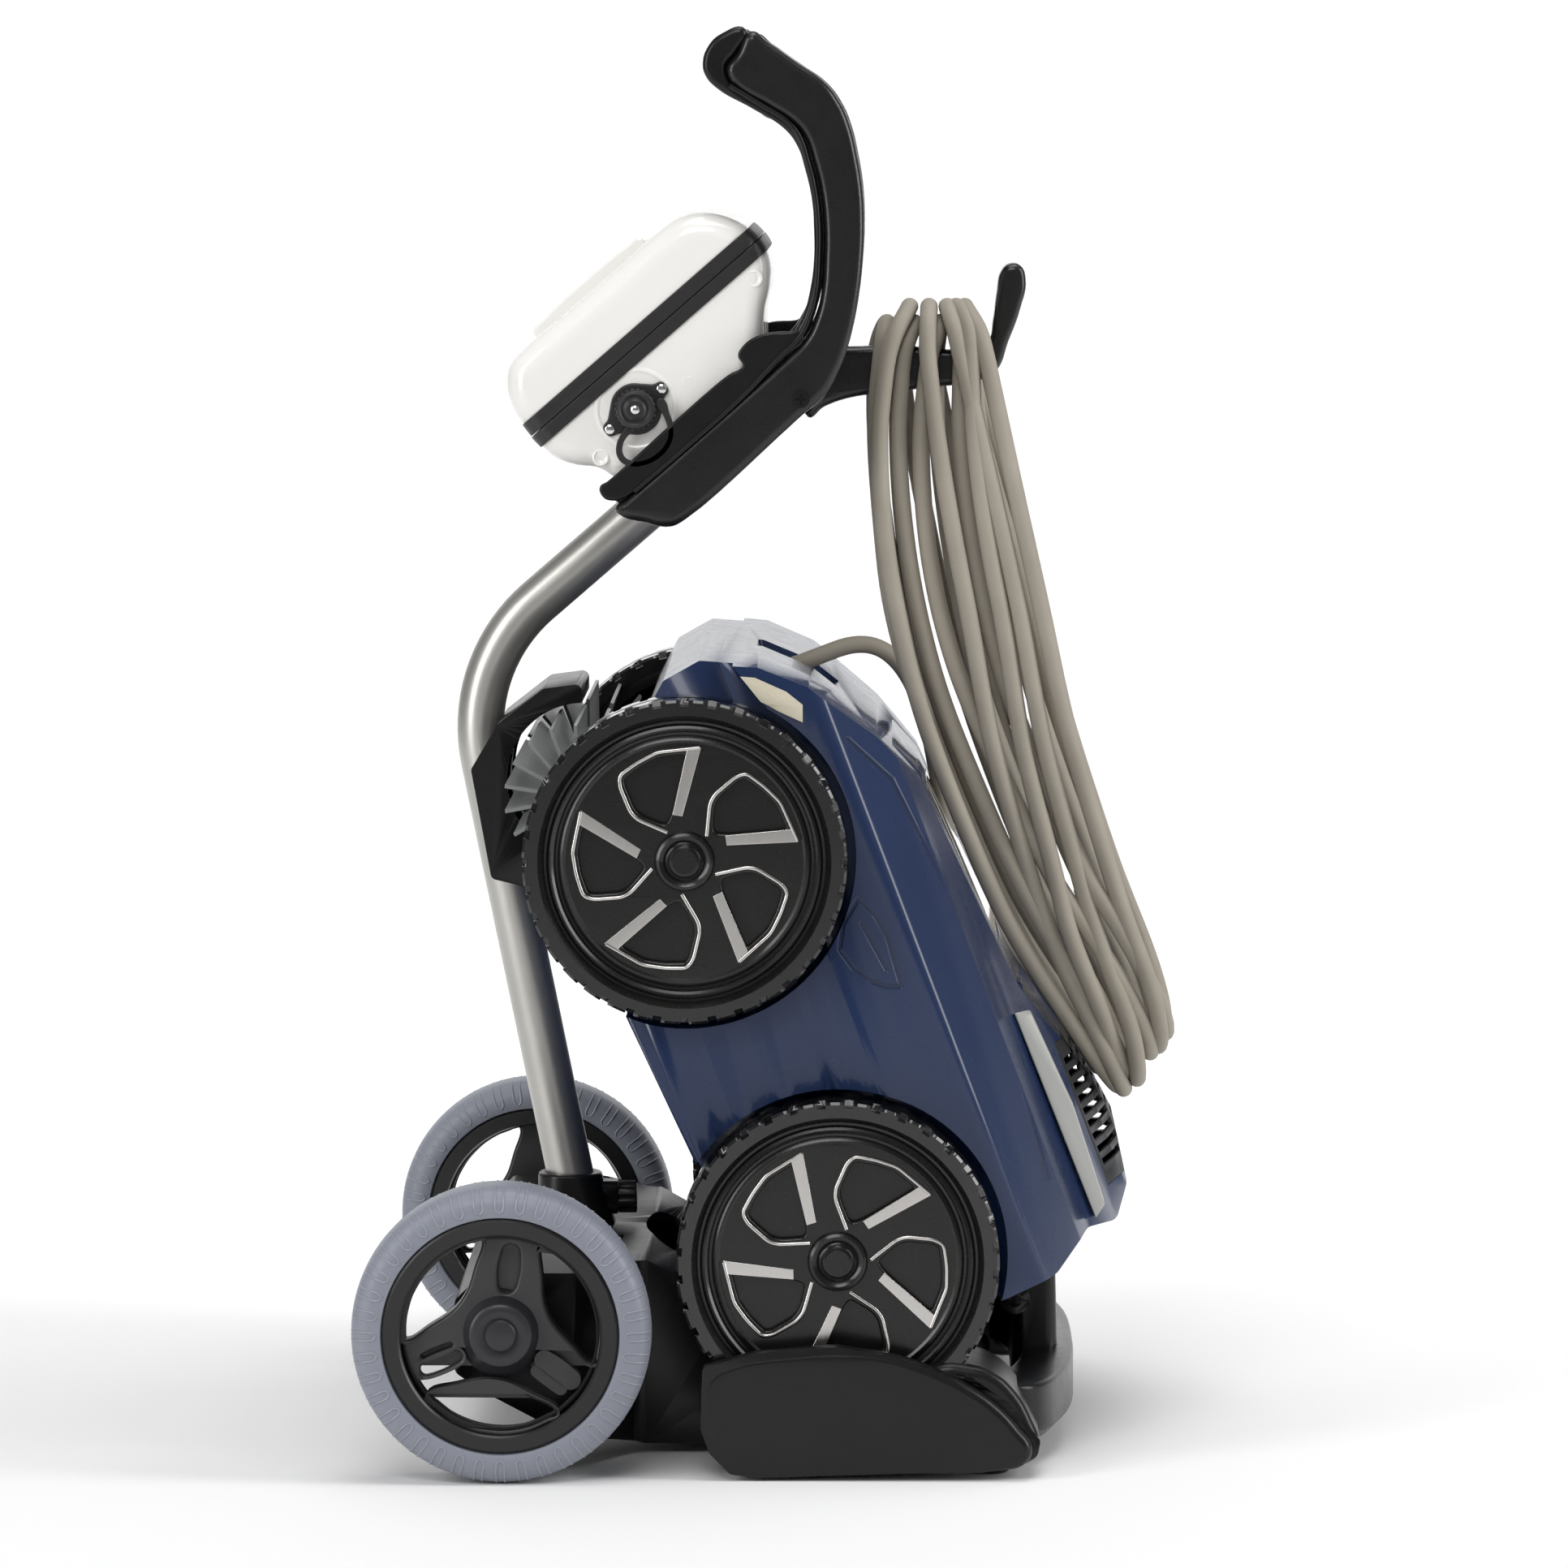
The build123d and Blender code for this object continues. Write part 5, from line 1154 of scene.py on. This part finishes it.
# ---------------------------------------------------------------- pieces that keep the CAD shape
KEPT_SHAPES = (
    ("base_deck", deck_black, 2.0), ("front_rail", black, 1.5), ("base_feet", seal_rubber, 0.0),
    ("wheel_axle", steel, 0.0), ("frame_tube", aluminium, 0.0), ("tube_collar", black, 0.8),
    ("clamp_knob", black, 0.4), ("robot_saddle", black, 2.0), ("frame_screws", black, 0.0),
    ("robot_lower_shell", blue_gloss, 3.0), ("robot_upper_shell", blue_gloss, 3.0),
    ("robot_lid", blue_gloss, 1.0), ("lid_window", smoke, 0.6), ("exhaust_grille", grille_black, 0.4),
    ("rear_strip_near", strip_grey, 0.8), ("rear_strip_far", strip_grey, 0.8),
    ("cable_swivel", jacket, 0.5), ("robot_axle_stubs", wheel_gloss, 0.0),
    ("pump_motor", motor_black, 0.0), ("pump_impeller", motor_black, 0.0),
    ("front_tread_near", tread_gloss, 0.0), ("front_tread_far", tread_gloss, 0.0),
    ("rear_tread_near", tread_gloss, 0.0), ("rear_tread_far", tread_gloss, 0.0),
    ("brush_core_near", motor_black, 0.0), ("brush_core_far", motor_black, 0.0),
    ("brush_fins_near", fin_rubber, 0.0), ("brush_fins_far", fin_rubber, 0.0),
    ("box_button_a", key_rubber, 0.0), ("box_button_b", key_rubber, 0.0),
    ("box_button_c", key_rubber, 0.0),
)


def make_kept_shapes():
    for node, material, rounding in KEPT_SHAPES:
        carried(node, material, rounding=rounding)


# ---------------------------------------------------------------- floor and light
FLOOR_HALF = 9.0
SWEEP_FROM = 3.2
SWEEP_ROUND = 1.5
WALL_TOP = 6.0


def floor_paint():
    s = Shade("pale_floor")
    return s.finish(colour=s.tint(s.noise(0.4), (0.86,) * 3, (0.86 * 0.985,) * 3), rough=0.9)


def make_floor():
    """A floor that sweeps up into a wall behind the object."""
    bm = bmesh.new()
    sweep = [(SWEEP_FROM + SWEEP_ROUND * sin(radians(a)), SWEEP_ROUND - SWEEP_ROUND * cos(radians(a)))
             for a in range(15, 91, 15)]
    profile = [(-FLOOR_HALF, 0.0), (SWEEP_FROM, 0.0)] + sweep + [(SWEEP_FROM + SWEEP_ROUND, WALL_TOP)]
    rows = [[bm.verts.new((x, y, z)) for x in (-FLOOR_HALF, FLOOR_HALF)] for y, z in profile]
    for a, b in zip(rows, rows[1:]):
        bm.faces.new((a[0], a[1], b[1], b[0]))
    floor = from_bmesh("floor", bm)
    for face in floor.data.polygons:
        face.use_smooth = True
    floor.data.materials.append(floor_paint())


def lamp(name, place, size, power, target=(0, 0, 0.4)):
    """A rectangular lamp that faces its target."""
    data = bpy.data.lights.new(name, "AREA")
    data.shape = "RECTANGLE"
    data.size, data.size_y = size
    data.energy = power
    obj = bpy.data.objects.new(name, data)
    bpy.context.collection.objects.link(obj)
    forward = (Vector(target) - Vector(place)).normalized()
    right = forward.cross(Vector((0, 0, 1))).normalized()
    aim(obj, Vector(place), forward, right)


def make_lamps():
    lamp("top_softbox", (0.2, -0.2, 3.2), (2.2, 1.8), 46)
    lamp("left_softbox", (-2.4, -1.9, 1.3), (0.8, 2.2), 41)
    lamp("right_softbox", (2.6, -0.7, 1.4), (0.8, 2.4), 46)
    lamp("front_fill", (-0.6, -3.6, 3.4), (2.0, 1.2), 52)
    lamp("backdrop", (0.0, 1.2, 2.6), (5.0, 1.4), 110, target=(0, 4.4, 0.9))


def make_sky():
    sky = bpy.data.worlds.new("studio")
    sky.use_nodes = True
    background = sky.node_tree.nodes["Background"]
    background.inputs["Color"].default_value = (1, 1, 1, 1)
    background.inputs["Strength"].default_value = 0.2
    bpy.context.scene.world = sky


# ---------------------------------------------------------------- everything, in order
make_camera()
make_cable()
make_badge("near")
make_badge("far")
make_grille_shade_plates()
make_base()
for way, side in (("near", -1), ("far", 1)):
    caddy_wheel(way, side)
    cleaner_wheel("front", WHEELBASE / 2, way, side, 0.0)
    cleaner_wheel("rear", -WHEELBASE / 2, way, side, 26.0)
make_handle()
make_cradle_floor()
make_hook()
make_box()
make_socket()
make_strap()
make_dimples()
make_kept_shapes()
make_floor()
make_lamps()
make_sky()
bpy.context.scene.view_settings.view_transform = "Standard"
